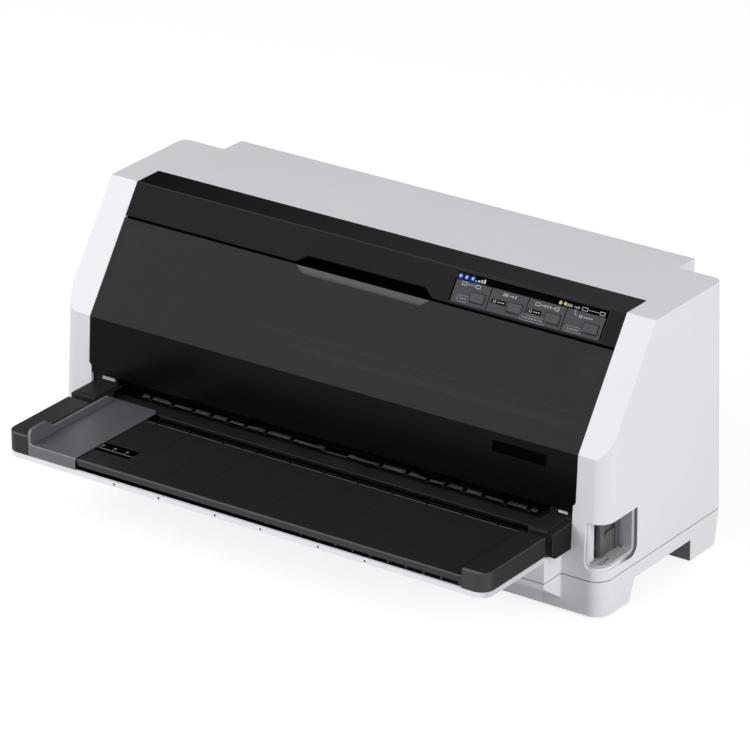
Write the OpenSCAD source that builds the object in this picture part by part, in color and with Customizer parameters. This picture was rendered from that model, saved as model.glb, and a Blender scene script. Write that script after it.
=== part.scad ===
// Flatbed dot matrix printer with a hinged smoked front cover and a front paper table.
// Case frame: X to the right, Y from the front face back, Z up from the underside of the case.

/* [Case] */
// Width of the case at the seam
case_w = 480; // [460:1:520]
// Height of the case without its feet
case_h = 206; // [200:1:220]
// Depth of the case at the seam
case_d = 160.8; // [158:0.1:175]
// Height of the seam between the lower and the upper case
seam_h = 27.2; // [25:0.1:30]
// Height of the crease where the front starts to slope back
crease_h = 118.7; // [112:0.1:124]
// How far the crease lies behind the seam's front edge
crease_back = 5.4; // [3:0.1:7]
// How far the top's front edge lies behind the seam's front edge
brow_back = 65.9; // [60:0.1:70]
// How much shallower the rear is at the top than at the seam
rear_draft = 5.7; // [3:0.1:7]
// How much each side leans in over the height of the upper case
side_draft = 1.2; // [0.6:0.1:2]
// Radius of the front upright corners
front_corner_r = 12.7; // [9:0.1:15]
// Radius of the rear upright corners
rear_corner_r = 7.5; // [5:0.1:10]
// Wall of the moulded cases
wall = 2.8; // [2.2:0.1:3]
// Distance from the case's side to the hood over the rear paper opening
hood_inset = 39; // [36:1:50]
// How far the hood stands out behind the top
hood_reach = 22.5; // [15:0.5:30]
// Height of the hood's open lower edge
hood_low = 154; // [145:1:165]
// Distance from the case's side to the rear paper opening
rear_open_inset = 46; // [44:1:55]
// Height of the lower edge of the rear paper opening
rear_open_low = 40; // [36:1:44]
// Height of the rubber feet
foot_h = 2; // [1.5:0.1:4]
// Radius of a rubber foot
foot_r = 9; // [6:0.5:12]

/* [Underside] */
// Depth of the front runner that the case stands on
front_runner_d = 36.3; // [32:0.1:40]
// How far the front runner's back slopes over its height
runner_slope = 6.2; // [2:0.1:9]
// Where the rear runner starts, from the front face
rear_runner_at = 117; // [110:0.5:122]
// Height of the arch between the runners
arch_h = 16.5; // [14:0.1:18]
// How far the rear face draws in towards the floor
low_rear_draft = 4.4; // [2:0.1:6]
// Chamfer at the foot of the rear face
low_chamfer = 3.2; // [2:0.1:5]
// Distance from the case's side to the block that stands out below the paper table
apron_inset = 34.4; // [32:0.2:42]
// How far that block stands out
apron_out = 21.8; // [16:0.1:26]
// Height of the top of that block
apron_h = 46.8; // [44:0.1:48]
// Height where the block's underside starts to slope back
apron_low = 23.4; // [21:0.1:25]
// Height where the block's underside meets the front face
apron_foot = 8.1; // [6:0.1:12]

/* [Top panel] */
// Distance from the case's side to the dark top panel
panel_inset = 25.5; // [24:0.1:30]
// Depth of its strip on the top face
panel_top_d = 25.8; // [20:0.1:30]
// Length of its strip down the slope
panel_slope_d = 26.4; // [25.4:0.1:28]
// Thickness of the panel
panel_t = 2.6; // [2.4:0.1:2.8]
// Width of the finger notch at its lower edge
notch_w = 120; // [100:1:140]
// Width of the finger notch at its upper edge
notch_top_w = 103.5; // [90:0.5:115]
// Depth of the finger notch
notch_d = 6.4; // [5:0.1:9]
// Depth of the well behind the finger notch
well_d = 13; // [10:0.5:16]
// Distance from the finger notch to the key panel that it stays clear of
notch_clear = 13; // [10:0.5:20]
// Distance from the dark panel's right side to the key panel
key_panel_inset = 12.5; // [8:0.5:20]
// Width of the key panel
key_panel_w = 128.6; // [122:0.1:135]
// Where the key panel starts below the top edge, along the slope
key_panel_s0 = 1.75; // [1.5:0.05:2.5]
// Where the key panel ends, along the slope
key_panel_s1 = 24.9; // [24:0.1:25.2]
// Thickness of the key panel
key_panel_t = 0.8; // [0.5:0.1:1]
// Width of a key
key_w = 11.6; // [10:0.1:13]
// Distance between the middles of two keys
key_pitch = 31.9; // [29:0.1:34]
// Distance from the last key's middle to the key panel's right edge
key_edge = 10.6; // [9:0.1:13]
// Height of a key along the slope
key_h = 7; // [6:0.1:8]
// Where the middle of the keys lies, along the slope
key_s = 18.2; // [17:0.1:19]
// How far a key stands out of the panel
key_out = 1.5; // [1:0.1:2.5]
// Travel of a key
key_travel = 0.8; // [0.5:0.1:1.2]
// Radius of a pilot lamp
lamp_r = 1.3; // [1:0.1:1.5]
// Where the middle of the lamps lies, along the slope
lamp_s = 5.4; // [4.5:0.1:6.5]
// Distance between two blue lamps
lamp_pitch = 5.15; // [4.5:0.05:6]

/* [Front cover] */
// Distance from the case's side to the smoked cover
cover_inset = 25.6; // [25.6:0.1:30]
// Thickness of the smoked cover
cover_t = 2.6; // [2:0.1:3]
// Height of its lower edge
cover_low = 75.5; // [74:0.1:77]
// How much each side steps in near the lower edge
cover_step = 2.2; // [1:0.1:3]
// Height where that step ends
cover_step_h = 83.3; // [81:0.1:84]
// How much lower the opening's step is, so that the cover can swing
swing_gap = 0.9; // [0.8:0.1:1.5]
// Gap between the cover and the top panel
cover_gap = 2.1; // [1.5:0.1:3]
// Distance of the hinge from the front face
hinge_y = 10; // [9.5:0.1:11]
// Height of the hinge
hinge_z = 92; // [91:0.5:94]
// Radius of a hinge pin
hinge_r = 3; // [2:0.1:3.5]

/* [Paper table] */
// How far the table stands out in front of the case
table_out = 102.3; // [90:0.5:110]
// Distance from the case's side to the table's side
table_inset = 29.6; // [29:0.1:36]
// Height of the pale shell under the table
shell_h = 5.2; // [4.5:0.1:7]
// How much the shell's tray lies above the pad it rests on
tray_lift = 1.3; // [0.5:0.1:1.6]
// Radius of the table's front corners
table_corner_r = 10.5; // [8:0.5:16]
// Width of the rim at each side
rim_w = 20.2; // [16:0.1:24]
// How far the rim stands above the paper plane
rim_rise = 6.7; // [5:0.1:8]
// How far the rims end in front of the case
rim_back = 27.8; // [25:0.1:32]
// Thickness of the deck
deck_t = 3; // [2:0.1:3.5]
// How far the deck ends in front of the case
deck_back = 17.8; // [16:0.1:20]
// Spacing of the grooves in the deck
groove_pitch = 30; // [20:1:60]
// Width of a groove
groove_w = 0.7; // [0.5:0.1:1.5]
// Width of the edge guide
guide_w = 43; // [36:0.5:50]
// Thickness of the edge guide's plate
guide_t = 1; // [0.8:0.1:1.6]
// How far the edge guide reaches back over the guide bar
guide_reach = 16.8; // [10:0.1:18]
// How far the edge guide slides
guide_travel = 30; // [10:1:40]
// Height of the edge guide's front tab above the paper plane
guide_tab_h = 12.5; // [9:0.5:16]
// Distance from the deck's rear edge to the guide bar behind it
bar_gap = 13.8; // [12:0.1:15]

/* [Paper path] */
// Height of the paper plane
paper_z = 61; // [60.6:0.1:61.6]
// Distance of the front feed shaft from the front face
feed_y = 17.7; // [17.2:0.1:18.2]
// Radius of the feed rollers
feed_r = 6.6; // [6:0.1:7]
// Radius of the feed shafts
feed_shaft_r = 4; // [3:0.1:4.5]
// Radius of the pinch rollers
pinch_r = 4.6; // [3.5:0.1:5]
// Radius of the pinch shafts
pinch_shaft_r = 2.5; // [1.5:0.1:3]
// Gap between two rollers on a shaft
roller_gap = 4.4; // [3:0.1:6]
// Distance from a side frame to the outer rollers
roller_inset = 23.4; // [22:0.1:30]
// Radius of the platen
platen_r = 14; // [12:0.1:15]
// Radius of the platen's shaft
platen_shaft_r = 5; // [4:0.1:6]
// Thickness of the paper guide plate
path_t = 2.4; // [1.6:0.1:3]
// Gear module
gear_m = 1; // [0.95:0.01:1]
// Teeth on the roller gears
roller_teeth = 24; // [24:2:26]
// Teeth on the idler gears
idler_teeth = 18; // [18:2:20]
// Teeth on the motor's pinion
pinion_teeth = 14; // [12:1:16]
// Width of the gears
gear_w = 4.5; // [3:0.1:5]

/* [Print mechanism] */
// Distance from the case's side to the inner face of a side frame
frame_inset = 42; // [41:0.5:45]
// Thickness of the side frames
frame_t = 2; // [1.5:0.1:2.5]
// Thickness of the base plate
base_t = 1.6; // [1.2:0.1:2]
// Radius of the carriage shaft
carriage_shaft_r = 6; // [5:0.1:7]
// How far the carriage shaft lies behind the platen
carriage_back = 33; // [31:0.5:35]
// Height of the carriage shaft above the paper plane
carriage_up = 23; // [22:0.5:25]
// Width of the carriage
carriage_w = 54; // [46:1:60]
// Distance from the left side frame to the middle of the parked carriage
park_inset = 48; // [46:1:78]
// Width of the print head's body
head_w = 30; // [26:1:34]
// Number of cooling fins on the print head
fin_count = 7; // [4:1:9]
// Height of the print head's finned part
fin_h = 26; // [20:1:30]
// Width of the ribbon
ribbon_w = 13; // [10:0.5:14]
// Height of the ribbon cartridge
cartridge_h = 20; // [16:1:30]
// Depth of the ribbon cartridge
cartridge_d = 70; // [60:1:74]
// Gap between the ribbon cartridge and a side frame
cartridge_gap = 6; // [4:1:8]
// Radius of the belt pulleys
pulley_r = 8; // [6:0.5:9]
// Thickness of the timing belt
belt_t = 1.2; // [1:0.1:1.6]
// Width of the timing belt
belt_w = 6; // [4:0.5:7]
// Radius of the carriage motor
motor_r = 17.3; // [14:0.1:17.3]
// Radius of the paper feed motor
feed_motor_r = 14.5; // [12:0.5:14.5]

/* [Tractors] */
// Width of a tractor
tractor_w = 18; // [16:0.5:22]
// Distance from a side frame to the middle of its tractor at rest
tractor_inset = 48; // [43:1:58]
// Pitch radius of a tractor's pin wheel
wheel_r = 6.2; // [5.6:0.1:6.3]
// Number of pins on a wheel
pin_count = 6; // [5:1:8]
// Width across the square drive shaft
drive_sq = 6; // [5:0.5:7]
// Thickness of a tractor's lid
lid_t = 2; // [1.5:0.1:2.5]

/* [Side pocket] */
// Left edge of the pocket, in from the case's side
pocket_w = 14; // [12:0.1:16]
// How far the pocket reaches back along the side
pocket_d = 42.4; // [38:0.1:46]
// Height of the pocket's lower edge
pocket_low = 37; // [35:0.1:40]
// Height of the pocket's upper edge
pocket_high = 70.5; // [66:0.1:74]
// Width of the bevelled rim round the pocket
pocket_rim = 2.2; // [1.5:0.1:3]
// Width of the paper release lever
lever_w = 25.2; // [20:0.1:26]
// Where the lever starts, behind the front face
lever_y = 13.5; // [12.5:0.1:15]

/* [Electrics] */
// Thickness of the circuit boards
board_t = 1.6; // [1.2:0.1:2]
// Width of the mains inlet
inlet_w = 22; // [20:0.5:24]
// Height of the mains inlet
inlet_h = 24; // [22:0.5:28]
// Width of the power switch
switch_w = 13; // [11:0.5:15]
// Height of the power switch
switch_h = 20; // [18:0.5:24]
// Height of the socket for the parallel cable
port_h = 56; // [50:1:60]
// Height of the mains inlet above the case's underside
inlet_at = 80; // [78:1:84]
// Height of the power supply's box
supply_h = 100; // [90:1:104]
// Height of a vent slot
vent_h = 2.4; // [2:0.1:3]
// Number of vent slots in the rear wall
vent_count = 5; // [3:1:5]

/* [Fits] */
// Gap between pieces that are screwed or clipped together
seat = 0.3; // [0.2:0.05:0.4]
// Gap round a moving piece that isn't a shaft
slide = 0.4; // [0.3:0.05:0.5]
// Radial clearance of a shaft in its bearing
run = 0.05; // [0.03:0.01:0.08]

/* [Hidden] */

// Colours
pale = [0.87, 0.875, 0.89];
dark = [0.17, 0.17, 0.175];
smoke = [0.22, 0.22, 0.23, 0.9];
mid_grey = [0.36, 0.365, 0.38];
steel = [0.66, 0.67, 0.69];
rubber = [0.12, 0.12, 0.12];
nylon = [0.9, 0.89, 0.84];

// Case outlines
half_w = case_w / 2;
hood_w = case_w - 2 * hood_inset;
rear_open_half = half_w - rear_open_inset;
apron_w = case_w - 2 * apron_inset;
panel_w = case_w - 2 * panel_inset;
cover_w = case_w - 2 * cover_inset;
top_back = case_d - rear_draft;
hood_back = top_back + hood_reach;
hood_drop = 0.7;
mid_y = (hood_back - table_out) / 2;
front_lean = atan(crease_back / (crease_h - seam_h));
side_lean = atan(side_draft / (case_h - seam_h));
rear_lean = atan(rear_draft / (case_h - seam_h));
low_lean = atan(low_rear_draft / (seam_h - low_chamfer));
slope = atan2(case_h - crease_h, brow_back - crease_back);
cheek_x = max(panel_w, cover_w) / 2 + seat;
cheek_t = 2.2;
cheek_d = 72;

// Heights along the paper path
shell_low = apron_h + seat;
shell_top = shell_low + shell_h;
deck_z = paper_z - 0.5;
feed_z = paper_z + 0.2 - feed_r;
platen_z = paper_z - platen_r;
gear_span = gear_m * (roller_teeth + idler_teeth);
gear_step = sqrt(pow(gear_span, 2) - pow(feed_z - platen_z, 2));
platen_y = feed_y + gear_step;
rear_feed_y = platen_y + gear_step;
drive_y = rear_feed_y + gear_span;
pinch_z = paper_z + 0.5 + pinch_r;
table_half = half_w - table_inset;
deck_half = table_half - rim_w;

// Mechanism
frame_half = half_w - frame_inset;
base_z = arch_h + wall + seat;
base_top = base_z + base_t;
shaft_y = platen_y + carriage_back;
shaft_z = paper_z + carriage_up;
gear_x = -frame_half - frame_t - 1;
roller_half = frame_half - roller_inset;
// Roller widths from the end to the middle, as shares of half the row
roller_shares = [0.029, 0.089, 0.082, 0.069, 0.065, 0.065, 0.08, 0.107, 0.148];
pinch_pitch = 0.32 * roller_half;
park_x = frame_half - park_inset;
tractor_x = frame_half - tractor_inset;
cartridge_half = frame_half - cartridge_gap;
head_top = paper_z + 32;
cartridge_z = head_top + fin_h + 7;
belt_y = shaft_y + 18 + pulley_r;
belt_z = shaft_z + 3;
bracket_z = belt_z + belt_w + 5;
rail_top = shaft_z - 0.5;
pulley_x = frame_half - motor_r - 0.6;
pinion_reach = gear_m * (pinion_teeth + idler_teeth) / 2;
pinion_dir = -112;
motor_y = drive_y - gear_span / 2 + pinion_reach * cos(pinion_dir);
motor_z = feed_z + pinion_reach * sin(pinion_dir);
guide_shaft_y = drive_y - 12.8;
guide_shaft_z = feed_z - 3;
guide_shaft_r = 3;
pocket_x = half_w - pocket_w;
lever_pivot = [30, 95];
lever_face = pocket_x - 0.2;
key_panel_x1 = panel_w / 2 - key_panel_inset;
key_panel_x0 = key_panel_x1 - key_panel_w;
key_xs = [for (i = [3:-1:0]) key_panel_x1 - key_edge - i * key_pitch];
blue_xs = [for (i = [0:2]) key_panel_x0 + 3.4 + i * lamp_pitch];
amber_xs = [key_xs[2] + 2.1, key_xs[2] + 6.1];
notch_x = min(0, key_panel_x0 - notch_clear - notch_w / 2);
well_half = notch_w / 2 + 2.5;
lip_drop = max(panel_t, cover_t) + slide + 0.2;
board_drop = panel_t + seat + 1 + key_travel + 2.6;
electrics_x = (half_w + rear_open_half) / 2;

// Line and outline functions
function unit(v) = v / norm(v);
function left_of(a, b) = let (d = unit(b - a)) [-d.y, d.x];
// Moves every side of a counter-clockwise outline in by d
function inset(outline, d) = let (n = len(outline)) [for (i = [0:n - 1])
    let (a = outline[(i + n - 1) % n], b = outline[i], c = outline[(i + 1) % n],
        u = left_of(a, b), v = left_of(b, c)) b + d * (u + v) / (1 + u * v)];
// Outline of a bent sheet that follows a path, with its thickness to the left
function sheet(path, t) = let (n = len(path)) concat(path, [for (i = [n - 1:-1:0])
    let (j = max(i, 1), k = min(i, n - 2),
        u = left_of(path[j - 1], path[j]), v = left_of(path[k], path[k + 1]))
    path[i] + t * (u + v) / (1 + u * v)]);
function front_at(z) = crease_back * (z - seam_h) / (crease_h - seam_h);
function rear_at(z) = case_d - rear_draft * (z - seam_h) / (case_h - seam_h);
function slope_point(s) = [brow_back - s * cos(slope), case_h - s * sin(slope)];
function upper_outline(z) = [[front_at(z), z], [rear_at(z), z], [top_back, case_h],
    [brow_back, case_h], [crease_back, crease_h]];
function lower_outline(top) = [[0, 0], [front_runner_d, 0], [front_runner_d + runner_slope, arch_h],
    [rear_runner_at, arch_h], [rear_runner_at, 0], [case_d - low_rear_draft - low_chamfer, 0],
    [case_d - low_rear_draft, low_chamfer], [case_d + tan(low_lean) * (top - seam_h), top], [0, top]];

// Puts the origin at the middle of the base
module in_place() translate([0, -mid_y, foot_h]) children();
// Box from its lowest to its highest corner
module block(a, b) translate(a) cube(b - a);
module both_sides() { children(); mirror([1, 0, 0]) children(); }
// Draws a YZ outline out along X
module draw_x(x0, x1) translate([x0, 0, 0]) rotate([90, 0, 90]) linear_extrude(x1 - x0) children();
// Draws an XZ outline out along Y
module draw_y(y0, y1) translate([0, y1, 0]) rotate([90, 0, 0]) linear_extrude(y1 - y0) children();
module rod_x(r, x0, x1, y, z) translate([x0, y, z]) rotate([0, 90, 0])
    cylinder(r = r, h = x1 - x0, $fn = 64);
module rod_z(r, x, y, z0, z1) translate([x, y, z0]) cylinder(r = r, h = z1 - z0, $fn = 64);
// Local frame on the sloping front: X right, Y up the slope, Z out of it
module on_slope() translate([0, brow_back, case_h]) rotate([slope, 0, 0]) children();
// Rectangle with its lower left corner rounded
module notch_face(w, h, r) {
    translate([0, r]) square([w, h - r]);
    translate([r, 0]) square([w - r, h]);
    translate([r, r]) circle(r, $fn = 64);
}
// Rectangle with all its corners rounded
module round_plate(x0, y0, x1, y1, r) {
    translate([x0 + r, y0]) square([x1 - x0 - 2 * r, y1 - y0]);
    translate([x0, y0 + r]) square([x1 - x0, y1 - y0 - 2 * r]);
    for (x = [x0 + r, x1 - r], y = [y0 + r, y1 - r]) translate([x, y]) circle(r, $fn = 48);
}

// One upright corner of the case: a leaning column, endless to the left and to the back
module corner(back_lean, lean, r, d) {
    reach = 2 * case_w;
    q = r - d;
    translate([half_w - d, d, seam_h]) rotate([-back_lean, -lean, 0])
        translate([0, 0, -case_h]) linear_extrude(2 * case_h) {
            translate([-q, q]) circle(q, $fn = 96);
            translate([-reach, q]) square([reach, reach]);
            translate([-reach, 0]) square([reach - q, reach]);
        }
}
module at_rear() translate([0, case_d, 0]) mirror([0, 1, 0]) children();

// The upper case's body, drawn in by d, from height z up
module upper_body(d = 0, z = seam_h) intersection() {
    draw_x(-half_w, half_w) polygon(inset(upper_outline(z), d));
    corner(front_lean, side_lean, front_corner_r, d);
    mirror([1, 0, 0]) corner(front_lean, side_lean, front_corner_r, d);
    at_rear() corner(rear_lean, side_lean, rear_corner_r, d);
    mirror([1, 0, 0]) at_rear() corner(rear_lean, side_lean, rear_corner_r, d);
}

// The lower case's body, drawn in by d, up to height z
module lower_body(d, z) intersection() {
    draw_x(-half_w, half_w) polygon(inset(lower_outline(z), d));
    corner(0, 0, front_corner_r, d);
    mirror([1, 0, 0]) corner(0, 0, front_corner_r, d);
    at_rear() corner(-low_lean, 0, rear_corner_r, d);
    mirror([1, 0, 0]) at_rear() corner(-low_lean, 0, rear_corner_r, d);
}

module lower_case() in_place() color(pale) difference() {
    top = seam_h - seat;
    union() {
        lower_body(0, top);
        draw_x(-apron_w / 2, apron_w / 2) polygon([[-apron_out, top], [-apron_out, apron_low],
            [0, apron_foot], [1, apron_foot], [1, top]]);
    }
    lower_body(wall, top + 2 * wall);
    draw_x(wall - apron_w / 2, apron_w / 2 - wall) polygon(inset([[4 * wall, top + 2 * wall],
        [-apron_out, top + 2 * wall], [-apron_out, apron_low], [0, apron_foot],
        [4 * wall, apron_foot]], wall));
}

// The space of the lever pocket, widened by g
module pocket_space(g = 0, high = pocket_high) intersection() {
    draw_y(-case_d, case_d) translate([pocket_x - g, pocket_low - g])
        notch_face(2 * pocket_w, high - pocket_low + g, 5 + g);
    draw_x(0, case_w) translate([pocket_d + g, pocket_low - g]) mirror([1, 0])
        notch_face(case_d, high - pocket_low + g, 6 + g);
}

// Front view of the opening that the cover fills, widened by g
module cover_face(g, low, drop = 0) let (x0 = cover_w / 2 - cover_step + g, x1 = cover_w / 2 + g,
    z1 = cover_step_h - drop, z0 = z1 - cover_step)
    polygon([[-x0, low], [x0, low], [x0, z0], [x1, z1], [x1, 2 * case_h], [-x1, 2 * case_h], [-x1, z1],
        [-x0, z0]]);

module hood_shape(d) draw_x(d - hood_w / 2, hood_w / 2 - d) polygon([[cheek_d * 2, hood_low - d],
    [hood_back - d - 1.6, hood_low - d], [hood_back - d, case_h - hood_drop - d],
    [top_back, case_h - d], [cheek_d * 2, case_h - d]]);

module upper_case() in_place() color(pale) difference() {
    edge = cheek_x - cover_w / 2;
    union() {
        difference() {
            union() {
                upper_body();
                block([-apron_w / 2, -apron_out, seam_h], [apron_w / 2, 1, apron_h]);
                hood_shape(0);
            }
            upper_body(wall, seam_h - 3 * wall);
            block([wall - apron_w / 2, wall - apron_out, 0],
                [apron_w / 2 - wall, 4 * wall, apron_h - wall]);
            hood_shape(wall);
        }
        // Inner cheek walls with the cover's bearings
        both_sides() {
            intersection() {
                upper_body();
                block([cheek_x, -1, seam_h], [cheek_x + cheek_t, cheek_d, case_h]);
            }
            rod_x(hinge_r + 2.6, cheek_x, cheek_x + cheek_t + 2, hinge_y, hinge_z);
        }
        // Posts of the power supply
        for (y = [supply_low.y + 8, supply_high.y - 8], z = [supply_low.z + 8, supply_high.z - 8])
            rod_x(4, wall - half_w, supply_low.x, y, z);
        // Bearing of the release lever and the pale inner wall of its pocket
        rod_x(6, cheek_x, cheek_x + cheek_t + 1.6, lever_pivot.x, lever_pivot.y);
        intersection() {
            upper_body();
            block([lever_face - slide - 2.8, -1, pocket_low - wall],
                [lever_face - slide, lever_y - 2, pocket_high + 1.5]);
        }
    }
    // Opening for the cover and the top panel, wider where the cover swings in
    for (cut = [[-2 * apron_out, swing_gap], [front_at(cover_step_h) + 1.2, swing_gap + 1.3]])
        draw_y(cut[0], cheek_d) intersection() {
            cover_face(edge, apron_h, cut[1]);
            translate([-case_w, 0]) square([2 * case_w, cover_low + 20]);
        }
    draw_x(-cheek_x, cheek_x) polygon([[-apron_out, cover_step_h], [cheek_d, cover_step_h],
        [brow_back + panel_top_d + seat, case_h - 3 * wall],
        [brow_back + panel_top_d + seat, 2 * case_h], [-apron_out, 2 * case_h]]);
    // Rear paper opening
    block([-rear_open_half, cheek_d * 2, rear_open_low], [rear_open_half, 2 * case_d, hood_low + 1]);
    // Side pocket with its bevelled rim
    pocket_space();
    difference() {
        pocket_space(pocket_rim);
        upper_body(1.4, 0);
    }
    // Bores for the cover's pins and the lever's pin
    rod_x(hinge_r + run, -half_w + wall + 3, half_w - wall - 3, hinge_y, hinge_z);
    rod_x(3 + run, cheek_x - 1, cheek_x + cheek_t + 3, lever_pivot.x, lever_pivot.y);
    // Openings for the mains inlet, the power switch and the cable sockets
    for (hole = rear_holes()) block([hole[0].x - seat, cheek_d * 2, hole[0].y - seat],
        [hole[1].x + seat, 2 * case_d, hole[1].y + seat]);
    // Vent slots behind the power supply
    vent_z = switch_hole()[1].y + 10;
    for (i = [0:vent_count - 1]) block([-electrics_x - 12, cheek_d * 2, vent_z + 2.5 * vent_h * i],
        [-electrics_x + 12, 2 * case_d, vent_z + 2.5 * vent_h * i + vent_h]);
}

// Rear openings as pairs of XZ corners
port_half = 6;
serial_z = rear_open_low + 2;
switch_z = inlet_at + inlet_h + 14;
parallel_z = serial_z + 20;
function inlet_hole() = [[-electrics_x - inlet_w / 2, inlet_at],
    [-electrics_x + inlet_w / 2, inlet_at + inlet_h]];
function switch_hole() = [[-electrics_x - switch_w / 2, switch_z],
    [-electrics_x + switch_w / 2, switch_z + switch_h]];
function parallel_hole() = [[electrics_x - port_half, parallel_z],
    [electrics_x + port_half, parallel_z + port_h]];
function serial_hole() = [[electrics_x - port_half, serial_z],
    [electrics_x + port_half, serial_z + 2 * port_half]];
function rear_holes() = [inlet_hole(), switch_hole(), parallel_hole(), serial_hole()];

module top_panel() in_place() color(dark) {
    difference() {
        draw_x(-panel_w / 2, panel_w / 2) polygon(sheet([[brow_back + panel_top_d, case_h],
            [brow_back, case_h], slope_point(panel_slope_d)], panel_t));
        // Finger notch
        on_slope() translate([notch_x, -panel_slope_d, -2 * panel_t]) linear_extrude(4 * panel_t)
            polygon([[-notch_w / 2, -1], [notch_w / 2, -1], [notch_w / 2, 0],
                [notch_top_w / 2, notch_d], [-notch_top_w / 2, notch_d], [-notch_w / 2, 0]]);
        // Recess of the key panel and the wells of the keys
        on_slope() block([key_panel_x0 - 0.2, -key_panel_s1 - 0.2, -key_panel_t],
            [key_panel_x1 + 0.2, -key_panel_s0 + 0.2, 1]);
        key_wells(slide);
        lamp_seats(0.1);
    }
    // Lip behind the gap over the cover, on both sides of the notch
    on_slope() for (ends = [[-panel_w / 2, notch_x - well_half + 0.1],
        [notch_x + well_half - 0.1, panel_w / 2]]) {
        block([ends[0], -panel_slope_d - cover_gap - 3, -lip_drop - 1.6],
            [ends[1], 2.6 - panel_slope_d, -lip_drop]);
        block([ends[0], 1 - panel_slope_d, -lip_drop - 1.6], [ends[1], 2.6 - panel_slope_d, 0.1 - panel_t]);
    }
    // Well behind the finger notch, open at its lower end
    on_slope() difference() {
        low = -panel_slope_d - cover_gap - 4.5;
        block([notch_x - well_half, low, -well_d - 1.6],
            [notch_x + well_half, notch_d + 1.6 - panel_slope_d, 0.1 - panel_t]);
        block([notch_x - well_half + 2, low - 1, -well_d],
            [notch_x + well_half - 2, notch_d - panel_slope_d, 1]);
        block([notch_x - case_w, low - 1, -lip_drop], [notch_x + case_w, -panel_slope_d, 1]);
    }
    // Posts that carry the circuit board
    on_slope() for (p = [[key_panel_x0 + 3, 21], [key_panel_x0 + 38, 6], [key_panel_x1 - 3, 6],
        [key_panel_x1 - 21, 21]])
        translate([p.x, -p.y, -board_drop + 0.1]) cylinder(r = 2, h = board_drop - panel_t + 0.1,
            $fn = 32);
}

module key_wells(gap) on_slope() for (x = key_xs)
    block([x - key_w / 2 - gap, -key_s - key_h / 2 - gap, -2 * panel_t],
        [x + key_w / 2 + gap, -key_s + key_h / 2 + gap, 2]);
module lamp_at(x, s, r, z0, z1) on_slope() translate([x, -s, z0]) cylinder(r = r, h = z1 - z0, $fn = 32);
module lamp_seats(gap) for (x = concat(blue_xs, amber_xs))
    lamp_at(x, lamp_s, lamp_r + gap, -2 * panel_t, 2);

module key_panel() in_place() color(mid_grey) difference() {
    on_slope() block([key_panel_x0, -key_panel_s1, 0.05 - key_panel_t],
        [key_panel_x1, -key_panel_s0, 0]);
    key_wells(slide);
    lamp_seats(0.1);
}
module blue_lamps() in_place() color([0.2, 0.45, 0.95])
    for (x = blue_xs) lamp_at(x, lamp_s, lamp_r, -board_drop + 0.1, 0.15);
module amber_lamps() in_place() color([0.95, 0.8, 0.2])
    for (x = amber_xs) lamp_at(x, lamp_s, lamp_r, -board_drop + 0.1, 0.15);

module key_at(x) in_place() color(mid_grey) on_slope() translate([x, -key_s, 0]) {
    flange = -panel_t - seat;
    crown = 0.5;
    translate([0, 0, flange - 1]) linear_extrude(key_out - crown - flange + 1)
        round_plate(-key_w / 2, -key_h / 2, key_w / 2, key_h / 2, 0.8);
    translate([0, 0, key_out - crown - 0.01]) linear_extrude(crown)
        round_plate(crown - key_w / 2, crown - key_h / 2, key_w / 2 - crown, key_h / 2 - crown, 0.6);
    block([-key_w / 2 - 1.2, -key_h / 2 - 1.2, flange - 1], [key_w / 2 + 1.2, key_h / 2 + 1.2, flange]);
}
module tear_off_key() key_at(key_xs[0]);
module line_feed_key() key_at(key_xs[1]);
module load_key() key_at(key_xs[2]);
module pause_key() key_at(key_xs[3]);

module panel_board() in_place() color([0.1, 0.35, 0.2]) on_slope() {
    block([key_panel_x0, -key_panel_s1, -board_drop - board_t],
        [key_panel_x1, -key_panel_s0, -board_drop]);
    // Switches under the keys
    for (x = key_xs) {
        block([x - 3, -key_s - 3, -board_drop], [x + 3, -key_s + 3, -board_drop + 1.2]);
        translate([x, -key_s, -board_drop]) cylinder(r = 1.5, h = 2.2, $fn = 32);
    }
}

module printer_cover() in_place() color(smoke) {
    difference() {
        intersection() {
            draw_x(-cover_w / 2, cover_w / 2) polygon(sheet([
                slope_point(panel_slope_d + cover_gap), [crease_back, crease_h],
                [front_at(cover_low), cover_low]], cover_t));
            draw_y(-apron_out, cheek_d) cover_face(0, cover_low - 1);
        }
        // Grip scoop under the finger notch
        on_slope() translate([notch_x, -panel_slope_d - cover_gap, 0]) rotate([14, 0, 0])
            linear_extrude(3) polygon([[-notch_top_w / 2, -5.5], [notch_top_w / 2, -5.5],
                [notch_w / 2, 1], [-notch_w / 2, 1]]);
    }
    // Hinge arms and pins
    both_sides() {
        difference() {
            union() {
                rod_x(5.2, cover_w / 2 - 4, cover_w / 2 - 0.4, hinge_y, hinge_z);
                block([cover_w / 2 - 4, front_at(hinge_z) + 1, hinge_z - 5.2],
                    [cover_w / 2 - 0.4, hinge_y, hinge_z + 5.2]);
            }
            block([0, -1, 0], [half_w, front_at(hinge_z) + 1.6, case_h]);
        }
        rod_x(hinge_r, cover_w / 2 - 2, cheek_x + cheek_t + 1.6, hinge_y, hinge_z);
    }
}

// Plan view of the table, with its front corners rounded, drawn in by d
module table_plan(d, back) {
    r = table_corner_r - d;
    for (x = [-1, 1]) translate([x * (table_half - d - r), d + r - table_out]) circle(r, $fn = 96);
    translate([d + r - table_half, d - table_out]) square([2 * (table_half - d - r), r]);
    translate([d - table_half, d + r - table_out]) square([2 * (table_half - d),
        table_out - back - 2 * d - r]);
}

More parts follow.
